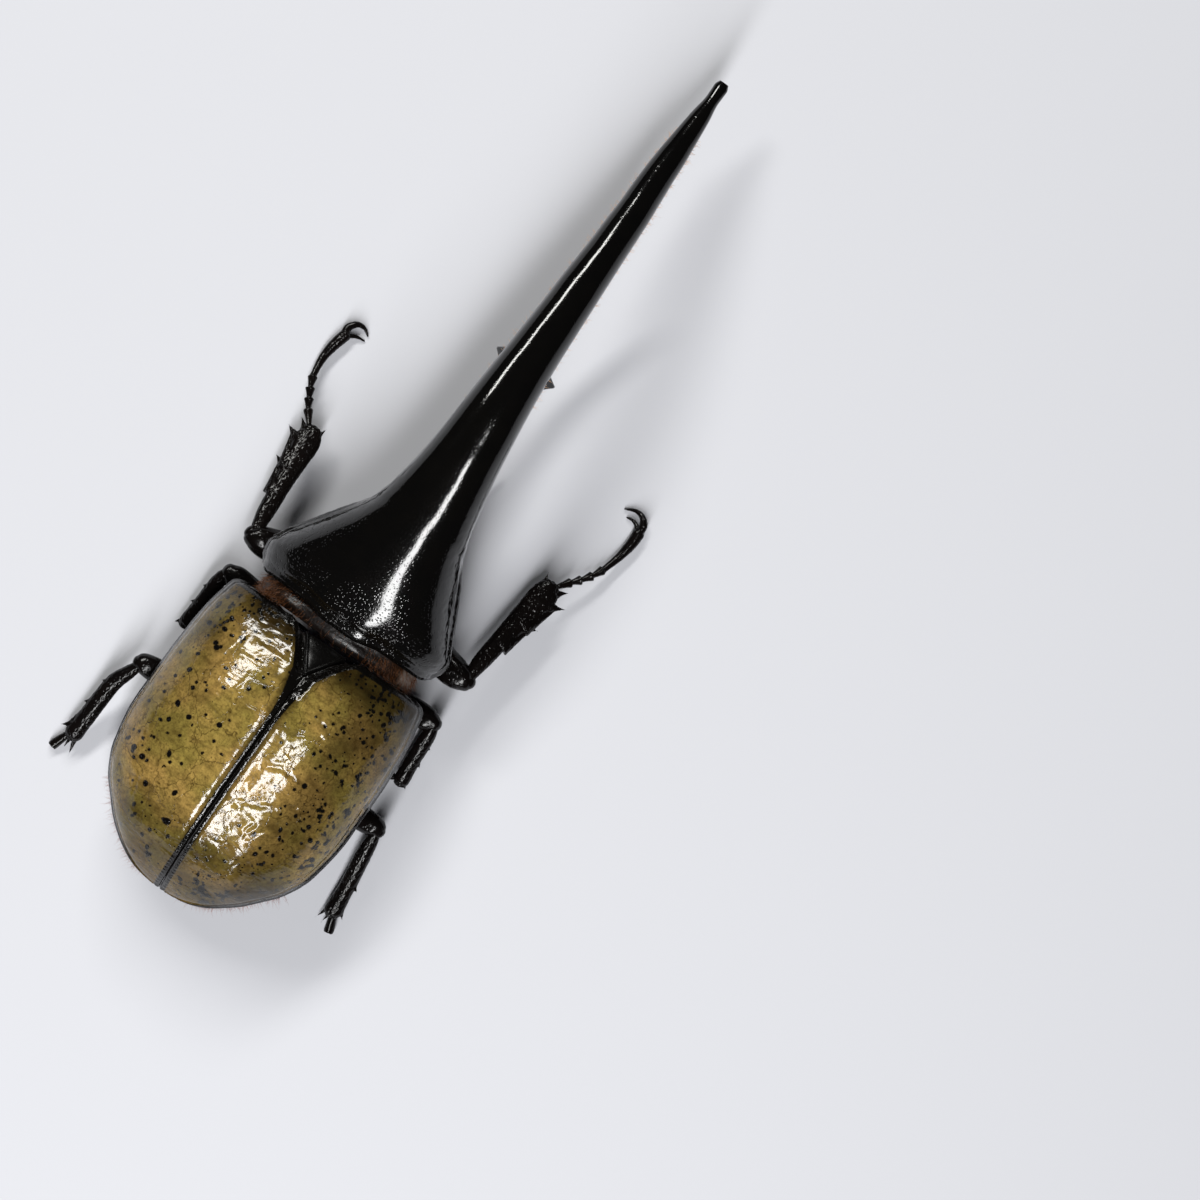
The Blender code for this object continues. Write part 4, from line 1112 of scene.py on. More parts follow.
    def build(self) -> None:
        """Make the skin and dress it."""
        grid, stations = self.grid()
        normal = grid_normals(grid, True)
        grid = grid + normal * self.relief(grid, stations)[..., None]
        grid = leaned(grid + self.teeth(grid))
        widest = Profile(self.sections).at(stations[:1])[0, 3]
        lips = []
        for share, station in ((self.lip_scale, self.lip_station), (1 - (1 - self.lip_scale) * 0.35, 1.9)):
            lip = grid[0].copy()
            lip[:, 0] *= share
            lip[:, 2] = widest + (lip[:, 2] - widest) * share
            lip[:, 1] = np.maximum(lip[:, 1], station)
            lips.append(lip)
        skin = np.concatenate((np.array(lips), grid))
        obj = tube_mesh("pronotum_with_horn", skin)
        add_values(obj, "punct", self.puncture(skin))
        finish_piece(obj, self.finishes.glossy, Slot.CHITIN, "pronotum", "thoracic_horn")

    def build_hair(self) -> None:
        """Set the golden brush along the underside of the horn."""
        hair = Hair(self.brush)
        draw, count = hair.random, self.brush.count
        first, reach = self.brush_span
        stations = first + reach * draw.beta(1.6, 1.2, count)
        half, _, bottom, widest = Profile(self.sections).at(stations).T
        turn = draw.normal(0, 0.62, count)
        turn = np.where(np.abs(turn) > 1.35, turn * 0.4, turn)
        x = half * np.sin(turn) * 0.97
        z = widest - (widest - bottom) * np.cos(turn) * 0.97
        roots = np.stack((x, stations, z), axis=1)
        ways = np.stack((np.sin(turn) * 0.9, np.full(count, 0.35), -np.cos(turn) * 0.8), axis=1)
        uv = np.stack(((stations - first) / 70, turn / 3 + 0.5), axis=1)
        obj = hair.blades("horn_brush", leaned(roots), ways, uv)
        finish_piece(obj, self.finishes.peach, Slot.CHITIN)


@dataclass
class WingCases:
    """The two elytra and the little shield between them.

    A section is a station, half width, top and height of the rim. A crease is a depth and
    the points of its line, and a spot is x, station and radius, all in millimetres.
    """

    finishes: Finishes
    sections: Rows = (
        (-58.3, 1.6, 12.0, 11.0), (-57.7, 5.3, 13.3, 11.2), (-56.5, 8.4, 15.3, 11.6),
        (-54.8, 11.2, 17.7, 12.0), (-50.3, 16.2, 22.7, 12.9), (-45.2, 20.5, 26.9, 13.5),
        (-40.0, 22.7, 30.0, 13.9), (-30.0, 24.05, 33.1, 14.0), (-20.0, 23.9, 33.7, 14.2),
        (-10.0, 23.3, 31.4, 15.0), (-5.0, 22.4, 28.9, 16.0), (-2.5, 21.8, 27.2, 16.9),
        (-1.7, 20.9, 26.5, 17.4), (-1.2, 18.8, 26.0, 18.0))
    power: float = 2.2
    thick: float = 0.8
    gap: float = 0.03
    shield_tip: float = -8.7
    shield_base: float = -1.4
    shield_half: float = 4.8
    corner: Rows = ((-3.6, 0.0), (-2.5, 0.7), (-1.7, 2.2), (-1.2, 3.4))
    rows: int = 250
    columns: int = 130
    small_spots: int = 230
    creases: tuple[tuple[float, tuple[tuple[float, float], ...]], ...] = (
        (0.3, ((-4.2, -18.8), (-6.5, -17.5), (-8.9, -16.4), (-11.6, -16.8))),
        (0.14, ((-5.2, -14.9), (-8.4, -14.2), (-10.6, -15.4))),
        (0.2, ((-2.3, -35.3), (-6.4, -33.6), (-10.3, -31.4), (-12.9, -29.8))),
        (0.12, ((-3.5, -35.5), (-6.0, -36.0), (-8.4, -36.5), (-7.8, -38.6))),
        (0.14, ((-8.4, -39.6), (-11.1, -35.7), (-12.9, -32.9))),
        (0.16, ((-4.0, -26.5), (-7.0, -25.0), (-9.5, -25.4))),
        (0.1, ((-5.0, -43.5), (-7.6, -42.0), (-10.0, -42.4))),
        (0.3, ((7.6, -18.2), (4.8, -18.7), (2.4, -18.3))),
        (0.06, ((-17.9, -14.2), (-17.0, -23.5), (-15.1, -26.9), (-13.3, -35.8), (-9.7, -44.6),
                (-8.0, -49.6))),
        (0.06, ((8.3, -14.6), (9.4, -22.0), (10.8, -30.0), (10.2, -38.0), (9.0, -46.0))),
        (0.06, ((13.0, -8.6), (14.8, -17.0), (16.4, -26.0), (16.2, -36.0), (13.6, -46.0))),
        (0.05, ((-13.2, -10.0), (-12.6, -20.0), (-11.4, -28.0))))
    named_spots: Rows = (
        (16.2, -26.6, 0.6), (13.0, -27.4, 0.55), (11.6, -28.2, 0.3), (15.9, -30, 0.5), (17.2, -31, 0.4),
        (12.4, -31.2, 0.35), (7.4, -25.2, 0.55), (12.1, -35.2, 0.55), (11.1, -36.4, 0.35),
        (18.4, -38.3, 0.6), (16.1, -38.7, 0.6), (7.1, -40.6, 0.55), (12.7, -42.5, 0.55),
        (5.4, -46.1, 0.75), (3.7, -48.4, 0.4), (12.3, -47.0, 0.4), (7.2, -49.3, 0.4), (5.9, -52.6, 0.45),
        (4.9, -53.6, 0.5), (18.1, -20.3, 0.5), (15.6, -22.6, 0.45), (13.2, -21.5, 0.35),
        (10.8, -19.1, 0.4), (6.8, -16.6, 0.45), (12.6, -16.0, 0.4), (18.6, -17, 0.4), (17.0, -13.4, 0.5),
        (16.4, -14, 0.55), (20.4, -11.2, 0.5), (17.0, -8.2, 0.5), (17.1, -10.4, 0.5), (13.2, -10.4, 0.3),
        (17.9, -9.5, 0.3), (13.1, -9.7, 0.35), (15.1, -10.5, 0.3), (-11.9, -25.4, 0.55),
        (-12.2, -20.7, 0.35), (-9.9, -19.5, 0.4), (-12.7, -18.2, 0.4), (-16.6, -27.7, 0.45),
        (-17.0, -26.2, 0.35), (-13.8, -31.0, 0.4), (-16.9, -31.4, 0.45), (-18.5, -33.4, 0.5),
        (-13.0, -34.8, 0.45), (-20.9, -36.5, 0.5), (-9.4, -38.4, 0.4), (-13.2, -39.8, 0.4),
        (-11.6, -41.2, 0.45), (-17.0, -43.9, 0.35), (-5.6, -52.6, 0.5), (-6.9, -53.3, 0.7),
        (-16.6, -6.0, 0.45), (-17.1, -8.1, 0.45), (-11.6, -12.4, 0.4), (-16.2, -12.7, 0.4),
        (-15.3, -20.2, 0.45), (-17.1, -20.9, 0.4), (-12.8, -8.8, 0.3), (-15.5, -6.7, 0.35),
        (-13.6, -7.8, 0.3), (-14.7, -10.8, 0.3), (-9.4, -37.9, 0.3), (-3.9, -51.3, 0.15))
    crease_width: float = 0.32
    blend: float = 0.9
    bead_spacing: float = 0.62
    seam_band: Rows = ((-58.3, 1.2), (-45.0, 1.0), (-20.0, 0.85), (-14.0, 1.3), (-11.0, 2.0), (-8.7, 2.5),
                       (-5.0, 2.3), (-1.2, 2.0))

    def dome(self, stations: np.ndarray, turn: np.ndarray) -> np.ndarray:
        """Find points of the outer face.

        Args:
            stations: Station of each row.
            turn: 0 at the middle and a right angle at the rim, for each point.

        Returns:
            Rows by points by 3, in body millimetres.
        """
        half, top, rim = Profile(self.sections).at(stations).T[:, :, None]
        across = np.sin(turn)
        rise = np.clip(1 - np.abs(across) ** self.power, 0, 1) ** (1 / self.power)
        return np.stack((half * across, np.broadcast_to(stations[:, None], across.shape),
                         rim + (top - rim) * rise), axis=-1)

    def shield_edge(self, stations: np.ndarray) -> np.ndarray:
        """Give the half width of the shield at each station."""
        share = (stations - self.shield_tip) / (self.shield_base - self.shield_tip)
        return self.shield_half * np.clip(share, 0, None)

    def stations(self) -> np.ndarray:
        """Choose stations from the front edge to the tail, closer together at both ends.

        Returns:
            One station for each row.
        """
        first, last = self.sections[-1][0], self.sections[0][0]
        share = np.linspace(0, 1, self.rows)
        eased = share + 0.12 * np.sin(2 * math.pi * share) / (2 * math.pi) * -4
        return first + (last - first) * np.clip(eased, 0, 1)

    def relief(self, grid: np.ndarray) -> np.ndarray:
        """Shape the beads, humps and wrinkles over the smooth dome.

        Args:
            grid: Points of the dome.

        Returns:
            Height of each point in millimetres.
        """
        x, station = np.abs(grid[..., 0]), grid[..., 1]
        half, _, level_of_rim = Profile(self.sections).at(station[:, 0]).T[:, :, None]
        inner = x - self.shield_edge(station)
        seam = -0.3 * step(0.35, 0.0, inner) - 0.06 * np.exp(-((inner - 1.5) / 0.5) ** 2)
        right = grid[..., 0] < 0
        lean = np.where(right, 0.3 * np.clip((4.4 - inner) / 3.6, 0, 1), -0.1 * step(3.2, 0.5, inner))
        seam = seam + lean * step(-57.0, -50.0, station) * step(-12.0, -18.0, station)
        slope = step(2.3, 0.4, inner) * step(-16.0, -9.0, station)
        dip = -0.95 * slope + 0.35 * np.exp(-((inner - 3.0) / 1.1) ** 2) * step(-16.0, -8.0, station)
        humps = 0.7 * np.exp(-((x - 16.5) / 3.0) ** 2 - ((station + 6.5) / 3.2) ** 2)
        humps = humps + 0.55 * np.exp(-((x - 11.5) / 3.5) ** 2 - ((station + 49.5) / 3.0) ** 2)
        away = half - x
        rim = 0.3 * np.exp(-((grid[..., 2] - level_of_rim - 0.6) / 0.5) ** 2)
        groove = -0.25 * np.exp(-((away - 0.55) / 0.25) ** 2)
        fold = 0.04 * rumple(grid, (4.5, 1.3, 4.5), 21, 3) + 0.2 * rumple(grid, (9, 14, 9), 23, 2)
        beads = 0.6 + 0.4 * np.sin(2 * math.pi * station / self.bead_spacing)
        fold = fold + 0.13 * np.exp(-((inner - 0.95) / 0.28) ** 2) * beads - self.creasing(grid)
        pleat = rumple(grid, (5.0, 1.1, 5.0), 25, 2) * step(14.0, 8.0, x) * step(-19.0, -14.0, station)
        flatter = 0.0154 * (x - 4.0) ** 2 * step(13.5, 8.0, x) * right * step(-52.0, -46.0, station)
        flatter = flatter * step(-10.5, -16.0, station)
        return seam + dip + humps + rim + groove + fold + 0.14 * pleat + flatter

    def creasing(self, grid: np.ndarray) -> np.ndarray:
        """Press in the named creases, each with a low lip on both sides.

        Args:
            grid: Points of the dome.

        Returns:
            Depth of each point in millimetres.
        """
        x, station = grid[..., 0], grid[..., 1]
        wander = 0.35 * rumple(grid, 2.2, 33, 2)
        depth = np.zeros_like(x)
        for height, line in self.creases:
            away = np.full(x.shape, 99.0)
            for (x0, y0), (x1, y1) in zip(line[:-1], line[1:]):
                dx, dy = x1 - x0, y1 - y0
                share = np.clip(((x - x0) * dx + (station - y0) * dy) / (dx * dx + dy * dy), 0, 1)
                away = np.minimum(away, np.hypot(x - x0 - share * dx, station - y0 - share * dy))
            away = away + wander
            lip = np.exp(-((np.abs(away) - 2.6 * self.crease_width) / (1.4 * self.crease_width)) ** 2)
            depth = depth + height * (np.exp(-(away / self.crease_width) ** 2) - 0.35 * lip)
        return depth

    def spots(self) -> np.ndarray:
        """List the spots of both wing cases: the named ones, then small ones at random.

        Returns:
            x, station and radius of each spot.
        """
        draw = np.random.default_rng(7)
        rows = list(self.named_spots)
        while len(rows) < len(self.named_spots) + self.small_spots:
            x, station = draw.uniform(-23, 23), draw.uniform(-56, -2.5)
            half = Profile(self.sections).at(np.array([station]))[0, 0]
            share = abs(x) / half
            crowd = 0.4 * (station > -15) + 0.3 * (x < -11) + 0.3 * (station < -43 and x < 2)
            lonely = draw.uniform() > 0.15 + 0.5 * share ** 2 + crowd
            if share > 0.93 or abs(x) < 2.2 or lonely:
                continue
            rows.append((x, station, draw.uniform(0.14, 0.38)))
        return np.array(rows)

    def inks(self, grid: np.ndarray) -> tuple[np.ndarray, np.ndarray]:
        """Say how far each point lies from black, and how much darker the olive is painted there.

        Args:
            grid: Points of the outer face.

        Returns:
            Distance in millimetres to the nearest black mark, below 0 inside it, and a darkening from 0 to
            1 with painted shade.
        """
        x, station = grid[..., 0], grid[..., 1]
        inner = np.abs(x) - self.shield_edge(station) - self.gap
        seam = Profile(self.seam_band).at(station[:, 0])[:, :1]
        front = (-2.3 - station) * 0.9
        either = np.exp(-(inner - seam) / self.blend) + np.exp(-np.maximum(front, -9) / self.blend)
        half = Profile(self.sections).at(station[:, 0])[:, :1]
        ink = np.minimum(-self.blend * np.log(either), half - np.abs(x) - 0.28)
        tail = 0.9 * step(-43.0, -53.0, station) * step(5.0, -5.0, x)
        corners = step(-14.0, -4.0, station) * step(5.0, 15.0, np.abs(x))
        right, front_edge = 0.75 * step(-11.0, -19.0, x), 0.8 * step(-6.0, -2.0, station)
        crowd = np.maximum.reduce([right, tail, corners, front_edge])
        ink = np.minimum(ink, 1.3 * (0.78 - 0.6 * crowd - rumple(grid, 1.25, 37, 3)))
        draw = np.random.default_rng(5)
        for sx, sy, radius in self.spots():
            close = (np.abs(x - sx) < 3) & (np.abs(station - sy) < 3)
            stretch, lean = draw.uniform(0.8, 1.25), draw.uniform(0, math.pi)
            if not close.any():
                continue
            dx, dy = x[close] - sx, station[close] - sy
            along = dx * math.cos(lean) + dy * math.sin(lean)
            across = dy * math.cos(lean) - dx * math.sin(lean)
            ink[close] = np.minimum(ink[close], np.hypot(along * stretch, across / stretch) - radius)
        return ink, self.shade(grid, inner - seam, half)

    def shade(self, grid: np.ndarray, off_seam: np.ndarray, half: np.ndarray) -> np.ndarray:
        """Say how much darker the olive is painted: along the edges and seam, in front, at the shoulders
        and on the left flank, with painted shade over the right wing case and the tail.

        Args:
            grid: Points of the outer face.
            off_seam: Distance from the black of the seam.
            half: Half width of the body at each row.

        Returns:
            A darkening from 0 to 1 for each point.
        """
        x, station = grid[..., 0], grid[..., 1]
        shoulder = np.maximum(step(13.5, 18.5, x), 0.45 * step(-10.0, -15.0, x))
        shoulder = shoulder * step(-22.0, -12.0, station)
        # The 0.75 term over the tail slope is painted shade; the others darken edges, seam, front,
        # shoulders and left flank
        darkening = np.maximum.reduce([
            0.3 * step(5.5, 0.5, half - np.abs(x)), 0.7 * step(1.6, 0.0, off_seam),
            0.9 * step(-12.0, -3.0, station), 0.75 * step(-34.0, -55.0, station), 0.62 * shoulder,
            0.3 * step(-14.0, -7.0, station), 0.28 * step(10.0, 16.0, x)])
        # Painted reflection: the darkening is lifted on a band along the right rim, between stations -22
        # and -38
        painted_sheen_band = step(-17.0, -21.0, x) * step(-14.0, -22.0, station) * step(-46.0, -38.0, station)
        # Painted shade: the right wing case darkens from x = -7 mm outward
        darkening = darkening + 0.54 * step(-7.0, -14.0, x) * (1 - darkening)
        darkening = darkening * (1 - 0.8 * painted_sheen_band)
        return np.clip(darkening + 0.3 * rumple(grid, 6.0, 31, 3) * (darkening + 0.3), 0, 1)

    def build_case(self, side: Side) -> None:
        """Make one wing case as a closed plate.

        Args:
            side: Which one.
        """
        stations = self.stations()
        half = Profile(self.sections).at(stations)[:, 0]
        notch = np.where(stations > self.corner[0][0], Profile(self.corner).at(stations)[:, 0], 0.0)
        start = np.arcsin(np.clip((self.shield_edge(stations) + self.gap + notch) / half, 0, 0.99))[:, None]
        share = np.linspace(0, 1, self.columns)[None]
        turn = side.value * (start + (math.pi / 2 - start) * share)
        grid = self.dome(stations, turn)
        normal = grid_normals(grid, False)
        normal = normal * np.sign(np.sum(normal * [side.value * 0.6, 0, 0.8], axis=-1).mean())
        top = grid + normal * self.relief(grid)[..., None]
        fold = self.fold_under(top[:, -1], side)
        low = grid - normal * self.thick
        top = np.concatenate((top, fold), axis=1)
        low = np.concatenate((low, fold - [side.value * 0.4, 0, -0.35]), axis=1)
        obj = plate_mesh(f"elytron_{side.word}_case", top, low)
        ink, shade = self.inks(np.concatenate((grid, fold), axis=1))
        ink[:, self.columns:] = -0.5
        add_values(obj, "ink", np.concatenate((ink, ink)))
        add_values(obj, "shade", np.concatenate((shade, shade)))
        finish_piece(obj, self.finishes.olive, Slot.ELYTRON, "elytron_" + side.word)

    def fold_under(self, edge: np.ndarray, side: Side) -> np.ndarray:
        """Fold the strip called epipleuron in under the rim.

        Args:
            edge: Points of the rim.
            side: Which wing case.

        Returns:
            Points of the rim by points of the strip by 3.
        """
        strips = []
        for sink, inset in ((0.35, 0.1), (0.5, 0.5), (0.45, 1.1), (0.3, 1.7)):
            strips.append(edge + [-side.value * inset, 0, -sink])
        return np.stack(strips, axis=1)

    def build_shield(self) -> None:
        """Make the scutellum, domed and beaded along its two long sides."""
        stations = np.linspace(self.shield_base, self.shield_tip + 0.35, 60)
        edge = np.maximum(self.shield_edge(stations) - 0.1, 0.2)[:, None]
        half = Profile(self.sections).at(stations)[:, :1]
        share = np.linspace(-1, 1, 61)[None]
        grid = self.dome(stations, np.arcsin(edge * share / half))
        normal = grid_normals(grid, False)
        normal = normal * np.sign(normal[..., 2:].mean())
        bead = 0.18 * np.exp(-((edge * (1 - np.abs(share)) - 0.35) / 0.25) ** 2)
        top = grid + normal * (bead - 0.75 + 0.25 * (1 - share ** 2))[..., None]
        obj = plate_mesh("scutellum_plate", top, grid - normal * 1.25)
        finish_piece(obj, self.finishes.smooth, Slot.CHITIN, "scutellum")

    def build(self) -> None:
        """Make both wing cases and the shield."""
        for side in Side:
            self.build_case(side)
        self.build_shield()


@dataclass
class Trunk:
    """Collar, hind chest, belly and tail plate under the wing cases."""

    finishes: Finishes
    cases: WingCases
    belly: Rows = (
        (-58.3, 9.4), (-57.0, 8.2), (-53.0, 6.2), (-48.0, 4.4), (-40.0, 2.4), (-30.0, 1.0),
        (-24.0, 0.2), (-20.0, -0.5), (-6.0, -0.5), (-3.0, 0.8), (-1.2, 3.2))
    depth: float = 1.4
    power: float = 2.5
    plates: tuple[float, ...] = (-29.5, -34.0, -38.0, -42.0, -46.0)
    plate_step: float = 0.42
    lengths: tuple[tuple[str, float, float, int], ...] = (
        ("metathorax", -1.5, -22.0, 110), ("abdomen", -22.0, -50.0, 190), ("pygidium", -50.0, -57.0, 50))
    collar: Rows = (
        (-0.9, 16.9, 24.2, 5.4, 15.5), (0.6, 17.2, 24.9, 5.0, 15.5), (3.2, 16.7, 24.8, 5.4, 15.5))
    fringe: Brush = Brush(23, 6500, (1.0, 2.2), 0.1, 0.25)
    tail: Brush = Brush(29, 3600, (1.2, 3.0), 0.1, 0.3)
    down: Brush = Brush(31, 9000, (0.8, 2.0), 0.1, 0.25)

    def ring_grid(self, stations: np.ndarray) -> np.ndarray:
        """Draw the rings of the trunk: the dome above, pulled in, and the belly below.

        Args:
            stations: Where the rings lie.

        Returns:
            Rings by points by 3, in body millimetres.
        """
        turn = np.linspace(-math.pi / 2, math.pi / 2, 90)[None]
        dome = self.cases.dome(stations, np.broadcast_to(turn, (len(stations), 90)))
        first, last, count = self.cases.sections[0][0], self.cases.sections[-1][0], 400
        whole = self.cases.dome(np.linspace(first, last, count), np.broadcast_to(turn, (count, 90)))
        normal = grid_normals(whole, False)
        normal = normal * np.sign(normal[200, 45, 2])
        share = (stations - first) / (last - first)
        index = np.clip(np.round(share * (count - 1)).astype(int), 0, count - 1)
        top = dome - normal[index] * self.depth
        right, left = top[:, :1], top[:, -1:]
        across = np.cos(np.linspace(0, math.pi, 92)[1:-1])[None]
        drop = (1 - np.abs(across) ** self.power) ** (1 / self.power)
        bottom = Profile(self.belly).at(stations)[:, :1]
        ledge = np.zeros_like(bottom)
        for edge in self.plates:
            near = 1 - np.abs((stations[:, None] - edge + 0.35) / 0.4)
            ledge = np.maximum(ledge, self.plate_step * near.clip(0, 1))
        z = left[..., 2] - (left[..., 2] - bottom) * drop + ledge * drop
        x = left[..., 0] * across
        along = np.broadcast_to((left[..., 1] + right[..., 1]) / 2, x.shape)
        return np.concatenate((top, np.stack((x, along, z), axis=-1)), axis=1)

    def build(self) -> None:
        """Make the three lengths of the trunk and the collar."""
        for name, start, end, count in self.lengths:
            obj = tube_mesh(name + "_skin", self.ring_grid(np.linspace(start, end, count)))
            emboss(obj, lambda at: 0.05 * rumple(at, 1.0, 41, 2) - 0.06 * pits(at, 1.1, 0.3, 43))
            finish_piece(obj, self.finishes.belly, Slot.CHITIN, name)
        stations = np.linspace(self.collar[0][0], self.collar[-1][0], 40)
        rings = oval_rings(self.collar, stations, columns=160, power=0.952)
        obj = tube_mesh("mesothorax_collar", rings)
        emboss(obj, lambda at: 0.3 * rumple(at, (5, 1.6, 5), 47, 2))
        finish_piece(obj, self.finishes.membrane, Slot.MEMBRANE, "mesothorax")

    def build_hair(self) -> None:
        """Set the amber fringe of the collar and the russet brush of the tail and belly."""
        self.collar_fringe()
        self.tail_brush()
        self.belly_down()

    def collar_fringe(self) -> None:
        """Lay bristles back over the collar, thickest beside its middle."""
        hair = Hair(self.fringe)
        draw = hair.random
        turn = draw.uniform(0.02, math.pi - 0.02, self.fringe.count)
        keep = draw.uniform(size=self.fringe.count) < 0.03 + 0.16 * step(0.35, 0.8, np.abs(np.cos(turn)))
        turn = turn[keep]
        count = len(turn)
        station = draw.uniform(-0.6, 2.9, count)
        x, z = 17.0 * np.cos(turn), 15.5 + 9.3 * np.sin(turn)
        roots = np.stack((x, station, z), axis=1)
        ways = np.stack((np.cos(turn) * 0.5, np.full(count, -0.9), np.sin(turn) * 0.45), axis=1)
        uv = np.stack((turn / math.pi, (station + 0.6) / 4), axis=1)
        finish_piece(hair.blades("collar_fringe", roots, ways, uv), self.finishes.amber, Slot.MEMBRANE)

    def tail_brush(self) -> None:
        """Set bristles that show past the ends of the wing cases."""
        hair = Hair(self.tail)
        draw, count = hair.random, self.tail.count
        station = draw.uniform(-57.2, -46.0, count)
        half = Profile(self.cases.sections).at(station)[:, 0]
        side = np.where(draw.uniform(size=count) < 0.5, 1.0, -1.0)
        inset = draw.uniform(0.8, 3.5, count)
        z = draw.uniform(8.0, 11.0, count)
        roots = np.stack((side * np.maximum(half - inset, 0.2), station + 1.0, z), axis=1)
        sink = draw.normal(-0.2, 0.2, count)
        ways = np.stack((side * (half > 8) * 0.8, -1.0 - 0.3 * (half < 12), sink), axis=1)
        uv = np.stack(((station + 58) / 13 * 0.5 + 0.25 * (side + 1), (z - 8) / 3), axis=1)
        finish_piece(hair.blades("tail_brush", roots, ways, uv), self.finishes.russet, Slot.CHITIN)

    def belly_down(self) -> None:
        """Set bristles between the legs and along the belly's plates."""
        hair = Hair(self.down)
        draw, count = hair.random, self.down.count
        station = draw.uniform(-50.0, -2.0, count)
        turn = draw.uniform(-1.25, 1.25, count)
        half, _, rim = Profile(self.cases.sections).at(station).T
        bottom = np.maximum(Profile(self.belly).at(station)[:, 0], 0.0)
        across = np.sin(turn)
        z = rim - (rim - bottom) * (1 - np.abs(across) ** self.power) ** (1 / self.power)
        keep = (z > 1.2) & ((station > -24) | (draw.uniform(size=count) < 0.25))
        roots = np.stack(((half - 1.5) * across, station, z + 0.1), axis=1)[keep]
        ways = np.stack((across * 0.6, np.full(count, -0.6), np.full(count, -0.5)), axis=1)[keep]
        uv = np.stack(((station + 50) / 48, turn / 3 + 0.5), axis=1)[keep]
        finish_piece(hair.blades("belly_down", roots, ways, uv), self.finishes.russet, Slot.CHITIN)


@dataclass
class Head:
    """Head capsule, lower horn, eyes, jaws, lip and feelers.

    A capsule section is a station, half width, top, bottom and height of the widest line.
    Other rows are x, station, z, half width and half height; a horn tooth is a station,
    z, height and radius.
    """

    finishes: Finishes
    capsule: Rows = (
        (20.5, 4.5, 16.5, 10.5, 13.5), (22.5, 6.2, 18.6, 8.6, 13.6), (25.0, 7.2, 19.8, 7.6, 13.8),
        (28.0, 7.7, 20.3, 6.9, 14.0), (31.0, 7.2, 20.0, 6.8, 13.6), (34.0, 6.2, 17.6, 7.0, 12.0),
        (36.0, 5.2, 13.6, 7.2, 10.2), (37.6, 4.6, 11.1, 7.4, 9.4), (39.5, 3.9, 10.5, 7.8, 9.2),
        (41.0, 3.2, 9.9, 8.4, 9.1))
    horn: Rows = (
        (0, 30.0, 15.6, 2.7, 3.2), (0, 36.0, 15.0, 2.7, 3.4), (0, 42.0, 14.2, 2.3, 2.8),
        (0, 54.0, 13.6, 1.9, 2.3), (0, 66.0, 14.2, 1.7, 2.1), (0, 76.0, 16.0, 1.4, 1.7),
        (0, 84.0, 18.6, 1.0, 1.25), (0, 88.5, 20.7, 0.6, 0.8), (0, 90.8, 21.9, 0.2, 0.25))
    horn_teeth: Rows = ((56.0, 14.6, 2.6, 1.0), (65.0, 15.2, 3.6, 1.3), (75.0, 16.8, 2.2, 0.8))
    brow: Rows = ((5.2, 33.0, 14.2, 1.6, 0.7), (7.2, 31.4, 14.3, 1.0, 0.6), (8.1, 29.8, 14.4, 0.45, 0.4))
    eye_at: tuple[float, float, float] = (6.3, 29.3, 14.2)
    eye_radius: float = 1.9
    jaw: Rows = ((2.0, 36.6, 6.9, 1.3, 1.0), (3.4, 39.5, 6.5, 1.25, 0.9), (3.3, 41.8, 6.7, 0.8, 0.7),
                 (2.3, 43.1, 7.0, 0.3, 0.35))
    lip: Rows = ((0, 30.6, 6.3, 2.0, 0.9), (0, 34.0, 5.5, 2.5, 1.0), (0, 38.2, 5.3, 1.7, 0.8),
                 (0, 39.6, 5.4, 1.0, 0.5))
    palp: Rows = ((1.3, 36.4, 5.0, 0.6, 0.5), (3.0, 38.6, 4.2, 0.6, 0.5), (3.9, 41.0, 3.9, 0.45, 0.4),
                  (4.1, 43.0, 4.0, 0.6, 0.5), (4.0, 43.9, 4.1, 0.3, 0.3))
    scape: Rows = ((5.4, 33.2, 8.6, 0.5, 0.5), (6.4, 31.8, 6.6, 0.6, 0.6), (6.9, 30.4, 5.2, 0.85, 0.85))
    bead_step: tuple[float, float, float] = (-0.12, -0.62, -0.1)
    beads: int = 6
    bead_rows: Rows = ((0.0, 0.36), (0.55, 0.62), (0.9, 0.5))
    leaf_rows: Rows = ((0.5, -0.1, 0.2, 0.3), (-0.6, -0.25, 0.42, 0.9), (-2.4, -0.3, 0.44, 1.05),
                       (-3.7, -0.3, 0.25, 0.5))
    leaf_spacing: float = 0.95
    beard: Brush = Brush(37, 1500, (0.8, 2.0), 0.09, 0.3)

    def build_capsule(self) -> None:
        """Melt capsule, horn, horn teeth and brows into one skin."""
        stations = np.linspace(self.capsule[0][0], self.capsule[-1][0], 90)
        capsule = oval_rings(self.capsule, stations, columns=96, power=0.909)
        grids = [capsule, limb_grid(self.horn, sides=40, steps=10)]
        for station, z, height, radius in self.horn_teeth:
            grids.append(self.peg((
                (-0.01, station, z, radius, radius),
                (0.0, station + 0.3, z + height * 0.5, radius * 0.62, radius * 0.7),
                (0.01, station + 0.9, z + height, 0.12, 0.2))))
        for side in Side:
            grids.append(limb_grid(mirrored(self.brow, side), sides=20, steps=6))
        obj = fuse("head_with_horn", map(leaned, grids), voxel=0.22, rounds=5)
        emboss(obj, self.relief)
        finish_piece(obj, self.finishes.leg, Slot.CHITIN, "head", "cephalic_horn")

    def peg(self, rows: Rows) -> np.ndarray:
        """Draw level rings of an upright tooth."""
        turn = np.linspace(0, 2 * math.pi, 16, endpoint=False)
        return np.array([[(x + half * math.cos(a), station + depth * math.sin(a), z) for a in turn]
                         for x, station, z, half, depth in rows])

